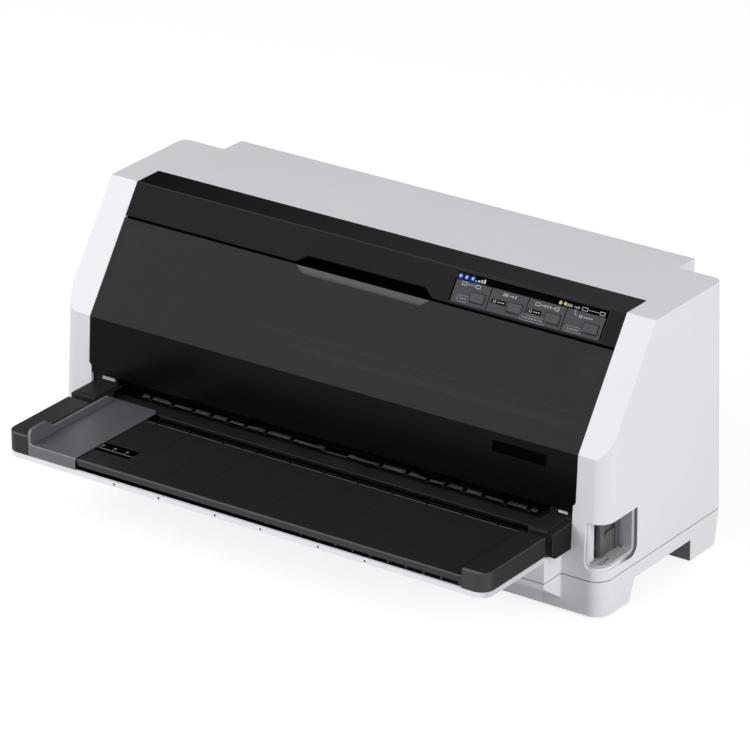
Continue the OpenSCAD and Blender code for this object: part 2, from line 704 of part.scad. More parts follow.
module table_shell() in_place() color(pale) difference() {
    tongue_half = deck_half - 2;
    tray_low = shell_low + tray_lift;
    union() {
        translate([0, 0, tray_low]) linear_extrude(shell_top - tray_low) table_plan(0, rim_back);
        block([-tongue_half, -rim_back - 1, tray_low], [tongue_half, -deck_back + 6, shell_top]);
        // Pad that rests on the lower block
        block([2 - tongue_half, 1 - apron_out, shell_low], [tongue_half - 2, -deck_back + 5, tray_low + 0.1]);
    }
    translate([0, 0, tray_low + 1.6]) linear_extrude(shell_h) table_plan(2.4, rim_back);
    block([2.4 - tongue_half, -rim_back - 5, tray_low + 1.6],
        [tongue_half - 2.4, -deck_back + 6 - 2.4, case_h]);
    // Small holes of the clips in the front edge
    for (x = [-111.3:90:120], dx = [0, 40]) translate([x + dx, -table_out - 1,
        (tray_low + shell_top) / 2])
        rotate([-90, 0, 0]) cylinder(r = 0.9, h = 5, $fn = 24);
}

module table_deck() in_place() color(dark) {
    low = shell_top + 0.1;
    lip = 1.6;
    nose = deck_z - deck_t;
    // Rims
    both_sides() intersection() {
        translate([0, 0, low]) linear_extrude(paper_z + rim_rise - 0.5 - low) table_plan(0.1, rim_back);
        block([deck_half, -table_out, 0], [half_w, 0, case_h]);
    }
    difference() {
        union() {
            block([-deck_half - 1, lip - table_out, nose], [deck_half + 1, -deck_back, deck_z]);
            block([-deck_half - 1, lip + 0.4 - table_out, low],
                [deck_half + 1, lip + 12 - table_out, nose + 1]);
            // Ribs under the deck
            for (x = [-deck_half + 0.4:groove_pitch * 2:deck_half])
                block([x, lip + 10 - table_out, low], [x + 1.6, -deck_back - 2, nose + 1]);
        }
        // Rounded nose of the deck
        translate([0, lip - table_out, 0]) difference() {
            block([-half_w, -1, deck_z - 1.2], [half_w, 1.2, case_h]);
            rod_x(1.2, -half_w, half_w, 1.2, deck_z - 1.2);
        }
        // Grooves
        for (x = [-136:groove_pitch:deck_half - 10]) block([x - groove_w / 2, 9 - table_out,
            deck_z - 0.5],
            [x + groove_w / 2, -deck_back + 1, case_h]);
        // Slots under the nose
        for (x = [-deck_half + 3:groove_pitch / 2:deck_half - 12]) block([x, -table_out, low + 0.3],
            [x + groove_pitch / 2 - 1.5, lip + 8 - table_out, nose]);
    }
}

module edge_guide() in_place() color(mid_grey) {
    x0 = -deck_half + 0.4;
    x1 = x0 + guide_w;
    low = deck_z + 0.2;
    front = -table_out;
    back = -deck_back + guide_reach;
    r = 6;
    bend = 5;
    // Plate with a rounded rear corner
    translate([0, 0, low]) linear_extrude(guide_t) {
        translate([x0, front]) square([guide_w, back - front - r]);
        translate([x0, front]) square([guide_w - r, back - front]);
        translate([x1 - r, back - r]) circle(r, $fn = 48);
    }
    // Face that wraps the table's nose
    block([x0, front, shell_top + 0.4], [x1, front + 1.2, low + guide_t]);
    // Fence with a raised front tab
    tab = paper_z + guide_tab_h;
    rail = paper_z + rim_rise - 1;
    draw_x(x0, x0 + 2.2) difference() {
        polygon([[front, shell_top + 0.4], [front + 1.2, shell_top + 0.4], [front + 1.2, low],
            [back - 2, low], [back - 2, low + guide_t + 1], [back - 9, rail],
            for (t = [1:-0.125:0]) [front + 17 + 13 * t, rail + (tab - rail) * (1 + cos(180 * t)) / 2],
            [front, tab]]);
        translate([front, tab - bend]) difference() {
            translate([-1, 0]) square([bend + 1, bend + 1]);
            translate([bend, 0]) circle(bend, $fn = 48);
        }
    }
    // Foot that runs along the deck's rear edge
    block([x0 + 4, -deck_back + slide, deck_z - 4.5], [x1 - 4, -deck_back + slide + 3, low + 0.1]);
}

module entry_guide() in_place() color(dark) {
    back = feed_y - feed_r - 1.2;
    front = -deck_back + bar_gap;
    r = 1.2;
    low = apron_h + seat;
    level = deck_z - 0.5;
    inner = deck_half + 1.5;
    outer = cover_w / 2 - cover_step;
    split = outer - 4.9;
    block_top = paper_z + rim_rise + 1.1;
    ear_y = 6.2;
    difference() {
        union() {
            // Bar behind the table with a rounded front edge and a lower lip
            block([-inner, front + r, low], [inner, back, level]);
            block([-inner, front, low], [inner, front + 2 * r, level - r]);
            rod_x(r, -inner, inner, front + r, level - r);
            block([-inner, -deck_back + 7.8, low], [inner, front + 1, level - 2.3]);
        }
        draw_x(3 - inner, inner - 3) polygon([[front + 2.4, low - 1], [back - 2, low - 1],
            [back - 2, level - 2.5], [front + 5, level - 2.5], [front + 2.4, level - 4.5]]);
        block([3 - inner, -deck_back + 9.8, low - 1], [inner - 3, front + 0.4, level - 4.3]);
    }
    // End blocks beside the table
    both_sides() difference() {
        union() {
            block([inner - 0.1, -18.5, low + 3], [split - 0.4, 3, block_top]);
            block([inner - 0.1, -21.5, low + 3], [split - 0.4, 3, block_top - 3]);
            rod_x(3, inner - 0.1, split - 0.4, -18.5, block_top - 3);
            block([split - 0.5, -22, low + 3], [outer, 3, block_top - 1.2]);
            block([split - 2, -17.5, low], [outer, 3, low + 4]);
            // Ears that close the cover's lower corners
            block([inner - 0.1, 2, block_top - 3], [outer, ear_y + 0.1, block_top - 1.2]);
            block([inner - 0.1, ear_y, block_top - 3], [cover_w / 2, ear_y + 3, hinge_z]);
            block([outer, ear_y, block_top - 3], [cover_w / 2, ear_y + 12, hinge_z]);
        }
        block([split - 0.4, -23, low], [split, -16, case_h]);
        // Clear of the swinging cover
        rod_x(hinge_z - cover_low + 2.2, 0, half_w, hinge_y, hinge_z);
    }
}

module lever_pocket() in_place() color(mid_grey) {
    t = 1.6;
    difference() {
        intersection() {
            upper_body(1.6, 0);
            difference() {
                pocket_space(-seat, pocket_high - seat);
                pocket_space(-seat - t, pocket_high + 3);
            }
        }
        block([pocket_x - 1, -1, pocket_low + seat + t], [pocket_x + 5.2, pocket_d - seat - t, case_h]);
    }
    // Floor under the lever and the rear stop wall
    block([cheek_x + cheek_t + seat, lever_y - 1.6, pocket_low + seat],
        [pocket_x + 6, pocket_d - 6, pocket_low + seat + t]);
    block([cheek_x + cheek_t + seat, pocket_d - seat - t, pocket_low + seat + 3],
        [pocket_x + 4, pocket_d - seat, pocket_high - seat]);
}

module release_lever() in_place() color([0.3, 0.3, 0.3]) {
    x0 = cheek_x + cheek_t + 2.4;
    x1 = lever_face + 3.4;
    y1 = lever_y + lever_w;
    foot = pocket_low + 3.4;
    knee = pocket_high + 4.5;
    rib = 5.4;
    // Arm down from the pivot
    draw_x(x0, x0 + 3.6) {
        polygon([[y1, knee], [lever_pivot.x + 7, lever_pivot.y], [lever_pivot.x - 7, lever_pivot.y],
            [lever_y, knee + 4], [lever_y, knee]]);
        translate(lever_pivot) circle(7, $fn = 64);
    }
    // Step out over the pocket's inner wall
    block([x0, lever_y, knee], [x1, y1, knee + 4]);
    // Grip with raised edges and a sloped toe
    difference() {
        block([lever_face, lever_y, foot], [x1, y1, knee + 0.1]);
        draw_x(x1 - 2.4, x1 + 1) polygon([[lever_y + rib, foot + 12], [lever_y + rib + 2, foot],
            [lever_y + rib + 2, foot - 1], [y1 - rib, foot - 1], [y1 - rib, knee - 1],
            [lever_y + rib, knee - 1]]);
    }
    draw_x(lever_face, x1 - 0.8) polygon([[lever_y + rib - 1, foot], [y1 - rib + 1, foot],
        [y1 - rib + 1, foot + 16], [lever_y + rib + 5, foot + 16], [lever_y + rib - 1, foot + 11]]);
    // Pin in the cheek wall
    rod_x(3, cheek_x + 0.2, x0 + 1, lever_pivot.x, lever_pivot.y);
}

module base_plate() in_place() color(steel) difference() {
    y0 = 8;
    y1 = case_d - 12;
    union() {
        block([-frame_half - 6, y0, base_z], [frame_half + 6, y1, base_top]);
        // Flanges turned up at the front and the back
        for (y = [y0, y1 - base_t]) block([-frame_half + 4, y, base_z],
            [frame_half - 4, y + base_t, base_top + 5]);
    }
    // Windows
    for (x = [-150:75:150]) translate([0, 0, base_z - 1]) linear_extrude(5)
        round_plate(x - 20, 50, x + 20, 90, 8);
}

// Side view of a side frame
function frame_outline() = [[11, base_top], [case_d - 16, base_top], [case_d - 9, 50],
    [case_d - 9, paper_z + 12], [belt_y + 12, bracket_z], [belt_y + 12, cartridge_z - seat],
    [platen_y + 4, cartridge_z - seat], [platen_y - 18, shaft_z + 16], [33, paper_z + 24],
    [24, paper_z + 12], [9.5, paper_z + 12], [9.5, 40]];
// Idler places as offsets between the roller places
function idler_spots() = [[(feed_y + platen_y) / 2, (feed_z + platen_z) / 2],
    [(platen_y + rear_feed_y) / 2, (feed_z + platen_z) / 2], [drive_y - gear_span / 2, feed_z]];

module side_frames() in_place() color(steel) {
    both_sides() difference() {
        draw_x(frame_half, frame_half + frame_t) polygon(frame_outline());
        // Bearings
        for (y = [feed_y, rear_feed_y, drive_y])
            rod_x(feed_shaft_r + run, frame_half - 1, frame_half + frame_t + 1, y, feed_z);
        for (y = [feed_y, rear_feed_y])
            rod_x(pinch_shaft_r + run, frame_half - 1, frame_half + frame_t + 1, y, pinch_z);
        rod_x(platen_shaft_r + run, frame_half - 1, frame_half + frame_t + 1, platen_y, platen_z);
        rod_x(carriage_shaft_r + 0.02, frame_half - 1, frame_half + frame_t + 1, shaft_y, shaft_z);
        rod_x(guide_shaft_r + 0.02, frame_half - 1, frame_half + frame_t + 1, guide_shaft_y,
            guide_shaft_z);
        rod_x(4.6, frame_half - 1, frame_half + frame_t + 1, motor_y, motor_z);
        // Lightening window
        draw_x(frame_half - 1, frame_half + frame_t + 1)
            round_plate(platen_y + 8, 92, shaft_y + 12, cartridge_z - 10, 4);
    }
    // Brackets of the belt pulleys, the left one with the hole for the motor's shaft
    difference() {
        both_sides() block([frame_half - 2 * motor_r - 1.6, belt_y - 14, bracket_z],
            [frame_half + 0.1, belt_y + 12, bracket_z + 1.6]);
        rod_z(2.6, -pulley_x, belt_y, bracket_z - 1, bracket_z + 3);
    }
    // Axle of the right pulley
    rod_z(2, pulley_x, belt_y, belt_z - 2.6, bracket_z + 0.1);
    // Axles of the idler gears
    for (p = idler_spots()) rod_x(3, gear_x - gear_w - 0.8, -frame_half, p.x, p.y);
}

module front_rail() in_place() color(steel) {
    y0 = 31;
    y1 = platen_y - 15.5;
    top = rail_top;
    block([-frame_half + seat, y0, top - 1.5], [frame_half - seat, y1, top]);
    block([-frame_half + seat, y0, paper_z + 10], [frame_half - seat, y0 + 1.5, top]);
}

module paper_deck() in_place() color(dark) difference() {
    z0 = deck_z - 0.4 - path_t;
    union() {
        block([-frame_half + seat, feed_y - feed_r - 0.8, z0],
            [frame_half - seat, guide_shaft_y - 9, deck_z - 0.4]);
        // Stiffening ribs
        for (x = [-150:50:150]) for (span = [[feed_y + 10, platen_y - 17],
            [platen_y + 17, rear_feed_y - 10]])
            block([x - 0.8, span[0], z0 - 6], [x + 0.8, span[1], z0 + 0.1]);
    }
    for (y = [feed_y, rear_feed_y])
        rod_x(feed_r + slide, -roller_half - 2, roller_half + 2, y, feed_z);
    block([-roller_half - 10, platen_y - platen_r - 1, z0 - 1],
        [roller_half + 10, platen_y + platen_r + 1, case_h]);
    // Clear of the shafts at the ends
    for (y = [feed_y, rear_feed_y]) for (end = [-1, 1])
        rod_x(feed_shaft_r + 1, end * frame_half - 30, end * frame_half + 30, y, feed_z);
}

// Rollers from the left end to the middle, mirrored to the right
function roller_start(i) = i == 0 ? -roller_half
    : roller_start(i - 1) + roller_shares[i - 1] * roller_half + roller_gap;
module roller_row(y, z, r) both_sides() for (i = [0:len(roller_shares) - 1])
    rod_x(r, roller_start(i), roller_start(i) + roller_shares[i] * roller_half, y, z);

module feed_roller(y) color(mid_grey) {
    roller_row(y, feed_z, feed_r);
    rod_x(feed_shaft_r, gear_x - gear_w - 0.5, frame_half + frame_t + 0.5, y, feed_z);
}
module front_feed_roller() in_place() feed_roller(feed_y);
module rear_feed_roller() in_place() feed_roller(rear_feed_y);

module pinch_row(y) color(rubber) {
    for (i = [-2.5:2.5]) rod_x(pinch_r, i * pinch_pitch - 9, i * pinch_pitch + 9, y, pinch_z);
    rod_x(pinch_shaft_r, -frame_half - frame_t - 0.5, frame_half + frame_t + 0.5, y, pinch_z);
}
module front_pinch_rollers() in_place() pinch_row(feed_y);
module rear_pinch_rollers() in_place() pinch_row(rear_feed_y);

module platen() in_place() color(rubber) {
    rod_x(platen_r, -roller_half - 8, roller_half + 8, platen_y, platen_z);
    rod_x(platen_shaft_r, -frame_half - frame_t - 0.6, frame_half + frame_t + 0.5, platen_y, platen_z);
    rod_x(feed_shaft_r, gear_x - gear_w - 0.5, -frame_half - frame_t, platen_y, platen_z);
}

// Involute tooth flank: half the angle of a tooth at radius r
function involute(a) = tan(a) * 180 / PI - a;
function tooth_half(n, r) = let (pitch = gear_m * n / 2, base = pitch * cos(20),
    slack = 0.16 * 180 / PI / pitch)
    90 / n - slack + involute(20) - involute(acos(min(1, base / r)));
function gear_outline(n) = let (pitch = gear_m * n / 2, base = pitch * cos(20),
    radii = [pitch - 1.2 * gear_m, max(base, pitch - 0.7 * gear_m) + 0.02, pitch, pitch + 0.85 * gear_m])
    [for (i = [0:n - 1]) each concat(
        [for (r = radii) r * [cos(360 * i / n - tooth_half(n, r)), sin(360 * i / n - tooth_half(n, r))]],
        [for (k = [3:-1:0]) let (r = radii[k])
            r * [cos(360 * i / n + tooth_half(n, r)), sin(360 * i / n + tooth_half(n, r))]])];
// Turn of a gear whose teeth mesh with another gear that lies in direction dir from it
function mesh_turn(n, turn, dir, m) = dir + 180 - (0.5 - (dir - turn) * n / 360) * 360 / m;
dir_down = atan2(platen_z - feed_z, gear_step);
turn_idler1 = mesh_turn(roller_teeth, 0, dir_down, idler_teeth);
turn_platen = mesh_turn(idler_teeth, turn_idler1, dir_down, roller_teeth);
turn_idler2 = mesh_turn(roller_teeth, turn_platen, -dir_down, idler_teeth);
turn_rear = mesh_turn(idler_teeth, turn_idler2, -dir_down, roller_teeth);
turn_idler3 = mesh_turn(roller_teeth, turn_rear, 0, idler_teeth);
turn_drive = mesh_turn(idler_teeth, turn_idler3, 0, roller_teeth);
turn_pinion = mesh_turn(idler_teeth, turn_idler3, pinion_dir, pinion_teeth);

module gear(n, turn, bore, y, z) in_place() color(nylon) difference() {
    pitch = gear_m * n / 2;
    union() {
        translate([gear_x - gear_w, y, z]) rotate([90, 0, 90]) rotate(turn) linear_extrude(gear_w)
            polygon(gear_outline(n));
        rod_x(bore + 1.4, gear_x - gear_w - 0.4, gear_x + 0.4, y, z);
    }
    rod_x(bore, gear_x - gear_w - 1, gear_x + 1, y, z);
    // Recess round the hub
    difference() {
        rod_x(pitch - 2.6 * gear_m, gear_x - gear_w - 1, gear_x - gear_w + 1.2, y, z);
        rod_x(bore + 1.4, gear_x - gear_w - 2, gear_x, y, z);
    }
}
module front_roller_gear() gear(roller_teeth, 0, feed_shaft_r, feed_y, feed_z);
module platen_gear() gear(roller_teeth, turn_platen, feed_shaft_r, platen_y, platen_z);
module rear_roller_gear() gear(roller_teeth, turn_rear, feed_shaft_r, rear_feed_y, feed_z);
module tractor_gear() gear(roller_teeth, turn_drive, feed_shaft_r, drive_y, feed_z);
module idler(i, turn) gear(idler_teeth, turn, 3 + run, idler_spots()[i].x, idler_spots()[i].y);
module front_idler_gear() idler(0, turn_idler1);
module middle_idler_gear() idler(1, turn_idler2);
module rear_idler_gear() idler(2, turn_idler3);

module motor_pinion() in_place() color(steel) {
    translate([gear_x - gear_w, motor_y, motor_z]) rotate([90, 0, 90]) rotate(turn_pinion)
        linear_extrude(gear_w) polygon(gear_outline(pinion_teeth));
    rod_x(2, gear_x - 1, -frame_half + 4, motor_y, motor_z);
}

module feed_motor() in_place() color([0.25, 0.25, 0.27]) difference() {
    union() {
        rod_x(feed_motor_r, -frame_half + seat, -frame_half + 26, motor_y, motor_z);
        rod_x(4.4, -frame_half - frame_t, -frame_half + 1, motor_y, motor_z);
    }
    rod_x(2 + run, -frame_half - 5, -frame_half + 5, motor_y, motor_z);
}

module carriage_shaft() in_place() color(steel)
    rod_x(carriage_shaft_r, -frame_half - frame_t - 1, frame_half + frame_t + 1, shaft_y, shaft_z);

module carriage() in_place() color(dark) translate([-park_x, 0, 0]) difference() {
    w = carriage_w / 2;
    plate_z = shaft_z - 8;
    union() {
        // Plate that holds the head
        block([-w, platen_y - 13, plate_z], [w, shaft_y - 8, plate_z + 4]);
        // Bearing block
        block([-w, shaft_y - 12, plate_z], [w, shaft_y + 11, shaft_z + 11]);
        // Cheeks out to the front shoe
        both_sides() draw_x(w - 3, w) polygon([[platen_y - 26, rail_top + slide],
            [platen_y - 15, rail_top + slide],
            [platen_y - 13, plate_z], [shaft_y - 11, plate_z], [shaft_y - 11, shaft_z + 11],
            [platen_y + 4, shaft_z + 8], [platen_y - 26, shaft_z + 5]]);
        block([-w, platen_y - 26, rail_top + slide], [w, platen_y - 18, rail_top + 4.5]);
        // Belt clamp
        block([-9, shaft_y + 10, belt_z - 1], [9, belt_y - pulley_r - belt_t - slide,
            belt_z + belt_w + 1]);
        block([-9, shaft_y + 10, belt_z + belt_w + 0.4], [9, belt_y - pulley_r + 3,
            belt_z + belt_w + 2.4]);
        block([-9, belt_y - pulley_r + slide, belt_z], [9, belt_y - pulley_r + 3, belt_z + belt_w + 0.5]);
    }
    // Well for the head
    block([-head_w / 2 - 0.2, platen_y - 11, plate_z - 1], [head_w / 2 + 0.2, platen_y + 11, case_h]);
    rod_x(carriage_shaft_r + run, -carriage_w, carriage_w, shaft_y, shaft_z);
}

module print_head() in_place() color([0.45, 0.45, 0.47]) translate([-park_x, platen_y, 0]) {
    tip = paper_z + 2;
    nose = paper_z + 12;
    // Nose with the pin guide
    draw_y(-5, 5) polygon([[-5, tip], [5, tip], [8, tip + 4], [11, nose + 0.1], [-11, nose + 0.1],
        [-8, tip + 4]]);
    block([-head_w / 2, -10.8, nose], [head_w / 2, 10.8, head_top]);
    // Finned heat sink
    translate([0, 0, head_top - 0.1]) cylinder(r = 9, h = fin_h, $fn = 64);
    for (i = [0:fin_count - 1]) intersection() {
        translate([0, 0, head_top + (i + 0.5) * (fin_h - 2) / fin_count])
            cylinder(r = 18, h = 1.6, $fn = 72);
        block([-16, -14, 0], [16, 14, case_h]);
    }
}

module ribbon_cartridge() in_place() color(dark) difference() {
    y0 = platen_y + 4;
    y1 = y0 + cartridge_d;
    arm = 12;
    low = paper_z + 1;
    union() {
        translate([0, 0, cartridge_z]) linear_extrude(cartridge_h)
            round_plate(-cartridge_half, y0, cartridge_half, y1, 6);
        // Raised middle of the lid
        translate([0, 0, cartridge_z + cartridge_h - 0.1]) linear_extrude(1.6)
            round_plate(-cartridge_half + 40, y0 + 8, cartridge_half - 40, y1 - 8, 4);
        // Arms down to the ribbon
        both_sides() draw_x(cartridge_half - arm, cartridge_half) polygon([
            [platen_y - 7, low + 0.4], [platen_y + 7, low + 0.4], [platen_y + 7, shaft_z + 20],
            [y0 + 16, cartridge_z + 0.1], [y0 + 6, cartridge_z + 8], [y0, cartridge_z + 8],
            [platen_y - 7, shaft_z + 18]]);
    }
    // Well of the knob and two grip recesses
    rod_z(3 + run, -cartridge_half + 22, y0 + 24, cartridge_z + cartridge_h - 10, case_h);
    both_sides() block([cartridge_half - 30, y1 - 5, cartridge_z + 4],
        [cartridge_half - 10, y1 + 1, case_h]);
}

module ribbon_knob() in_place() color(mid_grey) {
    x = -cartridge_half + 22;
    y = platen_y + 28;
    z = cartridge_z + cartridge_h;
    rod_z(3, x, y, z - 9, z + 1);
    translate([x, y, z + seat]) linear_extrude(7) difference() {
        circle(10, $fn = 64);
        for (a = [0:30:330]) rotate(a) translate([10.6, 0]) circle(1.6, $fn = 24);
    }
}

module ribbon() in_place() color([0.08, 0.08, 0.09]) block([-cartridge_half + 12,
    platen_y - ribbon_w / 2, paper_z + 1],
    [cartridge_half - 12, platen_y + ribbon_w / 2, paper_z + 1.3]);

module belt_plan(r) {
    translate([-pulley_x, belt_y - r]) square([2 * pulley_x, 2 * r]);
    for (x = [-1, 1]) translate([x * pulley_x, belt_y]) circle(r, $fn = 64);
}
module timing_belt() in_place() color(rubber) translate([0, 0, belt_z])
    linear_extrude(belt_w) difference() {
    belt_plan(pulley_r + belt_t);
    belt_plan(pulley_r);
}

module pulley(x) translate([x, belt_y, 0]) difference() {
    union() {
        rod_z(pulley_r - 0.2, 0, 0, belt_z - 1.2, belt_z + belt_w + 1.2);
        rod_z(pulley_r + 1.4, 0, 0, belt_z - 2.2, belt_z - 0.3);
        rod_z(pulley_r + 1.4, 0, 0, belt_z + belt_w + 0.3, belt_z + belt_w + 2.2);
    }
    // Spokes between three round holes
    for (a = [0:120:240]) rotate(a) translate([pulley_r / 2 + 0.6, 0, belt_z - 4])
        cylinder(r = pulley_r / 5, h = belt_w + 8, $fn = 32);
    if (x > 0) rod_z(2 + run, 0, 0, belt_z - 4, belt_z + belt_w + 4);
}
module drive_pulley() in_place() color(steel) {
    pulley(-pulley_x);
    rod_z(2, -pulley_x, belt_y, belt_z, bracket_z + 8);
}
module idler_pulley() in_place() color(nylon) pulley(pulley_x);

module carriage_motor() in_place() color([0.25, 0.25, 0.27]) difference() {
    union() {
        rod_z(motor_r, -pulley_x, belt_y, bracket_z + 1.6 + 0.1, cartridge_z - 1);
        rod_z(5, -pulley_x, belt_y, bracket_z + 1.65, bracket_z + 3);
    }
    rod_z(2 + run, -pulley_x, belt_y, bracket_z, bracket_z + 10);
}

module tractor_drive_shaft() in_place() color(steel) {
    half = drive_sq / 2;
    block([-frame_half + 3, drive_y - half, feed_z - half], [frame_half - 3, drive_y + half,
        feed_z + half]);
    rod_x(feed_shaft_r, gear_x - gear_w - 0.5, -frame_half + 4, drive_y, feed_z);
    rod_x(feed_shaft_r, frame_half - 4, frame_half + frame_t + 0.5, drive_y, feed_z);
}
module tractor_guide_shaft() in_place() color(steel)
    rod_x(guide_shaft_r, -frame_half - frame_t - 1, frame_half + frame_t + 1, guide_shaft_y,
        guide_shaft_z);

// Tractor body with its pin wheel chamber; side is -1 on the left and 1 on the right
module tractor(side) in_place() color(dark) translate([side * tractor_x, 0, 0]) {
    w = tractor_w / 2;
    y0 = guide_shaft_y - 7;
    y1 = drive_y + 9.5;
    difference() {
        union() {
            draw_x(-w, w) {
                translate([y0 + 4, feed_z - 12]) square([y1 - y0 - 4, deck_z - feed_z + 12]);
                translate([y0, feed_z - 8]) square([8, deck_z - feed_z + 5]);
                translate([y0 + 4, feed_z - 8]) circle(4, $fn = 48);
            }
            // Ears of the lid's hinge on the outer side
            for (y = [y0 + 8, y1 - 5]) block([side * w - 1.8, y, feed_z],
                [side * w + 1.8, y + 3, deck_z + 3.6]);
        }
        rod_x(wheel_r + 3, -2.6, 2.6, drive_y, feed_z);
        block([-2.6, drive_y - wheel_r - 3, feed_z], [2.6, drive_y + wheel_r + 3, case_h]);
        rod_x(5 + run, -w - 1, w + 1, drive_y, feed_z);
        rod_x(guide_shaft_r + run, -w - 1, w + 1, guide_shaft_y, guide_shaft_z);
        // Bores of the hinge ears
        translate([side * w, y0, deck_z + 1.8]) rotate([-90, 0, 0])
            cylinder(r = 0.8 + run, h = y1 - y0, $fn = 32);
    }
}
module left_tractor() tractor(-1);
module right_tractor() tractor(1);

module tractor_lid(side) in_place() color(mid_grey) translate([side * tractor_x, 0, 0]) {
    w = tractor_w / 2;
    y0 = guide_shaft_y - 7;
    y1 = drive_y + 9.5;
    z0 = deck_z + 1.2;
    difference() {
        union() {
            block([-w, y0 + 0.5, z0 + 0.6], [w, y1, z0 + 0.6 + lid_t]);
            translate([side * w, y0 + 11.5, deck_z + 1.8]) rotate([-90, 0, 0])
                cylinder(r = 1.6, h = y1 - y0 - 17, $fn = 32);
        }
        // Slot over the pins
        block([-2.4, drive_y - 6, z0 - 1], [2.4, drive_y + 6, case_h]);
        // Clear of the hinge ears
        for (y = [y0 + 8, y1 - 5]) block([side * w - 3.4, y - 0.4, z0 - 3],
            [side * w + 3.4, y + 3.4, case_h]);
    }
    // Hinge pin
    translate([side * w, y0 + 8.5, deck_z + 1.8]) rotate([-90, 0, 0])
        cylinder(r = 0.8, h = y1 - y0 - 11, $fn = 32);
}
module left_tractor_lid() tractor_lid(-1);
module right_tractor_lid() tractor_lid(1);

module pin_wheel(side) in_place() color(nylon) translate([side * tractor_x, drive_y,
    feed_z]) difference() {
    union() {
        rod_x(wheel_r, -2.2, 2.2, 0, 0);
        rod_x(5, -tractor_w / 2 - 0.6, tractor_w / 2 + 0.6, 0, 0);
        for (i = [0:pin_count - 1]) rotate([(i + 0.5) * 360 / pin_count, 0, 0]) translate([0, 0,
            wheel_r - 0.8])
            cylinder(r1 = 1.3, r2 = 0.8, h = 3, $fn = 24);
    }
    half = drive_sq / 2 + 0.15;
    block([-tractor_w, -half, -half], [tractor_w, half, half]);
}
module left_pin_wheel() pin_wheel(-1);
module right_pin_wheel() pin_wheel(1);

module main_board() in_place() color([0.1, 0.35, 0.2]) {
    x = electrics_x + 8;
    y0 = cheek_d;
    z0 = pocket_low - 1;
    block([x, y0, z0], [x + board_t, case_d - 12, z0 + 114]);
    // Chips and a connector as [back, up, length, height, thickness]
    for (c = [[12, 84, 14, 14, 2], [36, 80, 22, 20, 2.4], [12, 52, 20, 14, 2], [10, 16, 30, 7, 8]])
        block([x - c[4], y0 + c[0], z0 + c[1]], [x + 0.1, y0 + c[0] + c[2], z0 + c[1] + c[3]]);
    // Capacitors
    for (up = [24, 40]) rod_x(5, x - 13, x + 0.1, y0 + 50, z0 + up);
}

// Lowest and highest corner of the power supply's box
supply_low = [-half_w + wall + side_draft + 1, cheek_d + 1.5, inlet_at - 4];
supply_high = [-rear_open_half - 12, case_d - 24.8, supply_low.z + supply_h];
module power_supply() in_place() color(steel) difference() {
    t = 1.2;
    low = supply_low;
    high = supply_high;
    block(low, high);
    block([low.x + t, low.y - 2, low.z + t], [high.x - t, high.y - t, high.z - t]);
    // Vent slots
    for (y = [low.y + 8:8:high.y - 8]) block([high.x - 2, y, low.z + 14], [high.x + 1, y + 3, high.z - 14]);
}

module rear_piece(hole, y0, y1) block([hole[0].x, y0, hole[0].y], [hole[1].x, y1, hole[1].y]);

// Mains inlet and, above it, the housing of the power switch
module mains_inlet() in_place() color(dark) {
    h = inlet_hole();
    mid = (h[0] + h[1]) / 2;
    face = rear_at(h[0].y);
    difference() {
        union() {
            rear_piece(h, face - 20, face + 0.1);
            block([h[0].x - 1.5, face, h[0].y - 1.5], [h[1].x + 1.5, face + 1.2, h[1].y + 1.5]);
        }
        block([mid.x - 8, face - 16, mid.y - 6.5], [mid.x + 8, face + 2, mid.y + 6.5]);
    }
    // Three blades
    for (p = [[-4, -1], [0, 2], [4, -1]])
        block([mid.x + p.x - 0.8, face - 17, mid.y + p.y - 1.6],
            [mid.x + p.x + 0.8, face - 7, mid.y + p.y + 1.6]);
    w = switch_hole();
    rim = rear_at(w[0].y);
    // Tie between the two, inside the wall
    block([mid.x - 4, rim - 14, h[1].y - 1], [mid.x + 4, rim - 11, w[0].y + 1]);
    difference() {
        union() {
            rear_piece(w, rim - 15, rim + 0.1);
            block([w[0].x - 1.5, rim, w[0].y - 1.5], [w[1].x + 1.5, rim + 0.9, w[1].y + 1.5]);
        }
        block([w[0].x + 1.2, rim - 12, w[0].y + 1.2], [w[1].x - 1.2, rim + 2, w[1].y - 1.2]);
        rod_x(1.5 + run, w[0].x - 0.2, w[1].x + 0.2, rim - 5, (w[0].y + w[1].y) / 2);
    }
}

module power_switch() in_place() color([0.1, 0.1, 0.1]) {
    w = switch_hole();
    mid = (w[0].y + w[1].y) / 2;
    reach = switch_h / 2 - 3.3;
    // Rocker: two faces that meet at a blunt angle
    translate([0, rear_at(w[0].y) - 5, mid]) {
        draw_x(w[0].x + 1.2 + slide, w[1].x - 1.2 - slide) polygon([[-3, -reach + 1.5], [7.8, -reach],
            [5.6, 0], [4.6, reach], [-3, reach - 1.5]]);
        rod_x(1.5, w[0].x + 0.2, w[1].x - 0.2, 0, 0);
    }
}

module cable_sockets() in_place() color([0.2, 0.2, 0.22]) {
    p = parallel_hole();
    u = serial_hole();
    face = rear_at(p[1].y);
    board = electrics_x + 8;
    difference() {
        union() {
            rear_piece(p, face - 12, face + 0.5);
            rear_piece(u, face - 14, face + 0.5);
            // Feet on the main board
            for (h = [p, u]) block([h[1].x - 2, face - 12, h[0].y + 2],
                [board - 0.1, face - 5, h[1].y - 2]);
        }
        block([p[0].x + 2, face - 3.5, p[0].y + 4], [p[1].x - 2, face + 2, p[1].y - 4]);
        block([u[0].x + 1.5, face - 9, u[0].y + 1.5], [u[1].x - 1.5, face + 2, u[1].y - 1.5]);
    }
    // Contact bars
    block([p[0].x + 5, face - 4, p[0].y + 7], [p[1].x - 5, face - 0.5, p[1].y - 7]);
    block([u[0].x + 4, face - 10, u[0].y + 4], [u[1].x - 4, face - 1, u[1].y - 4]);
}

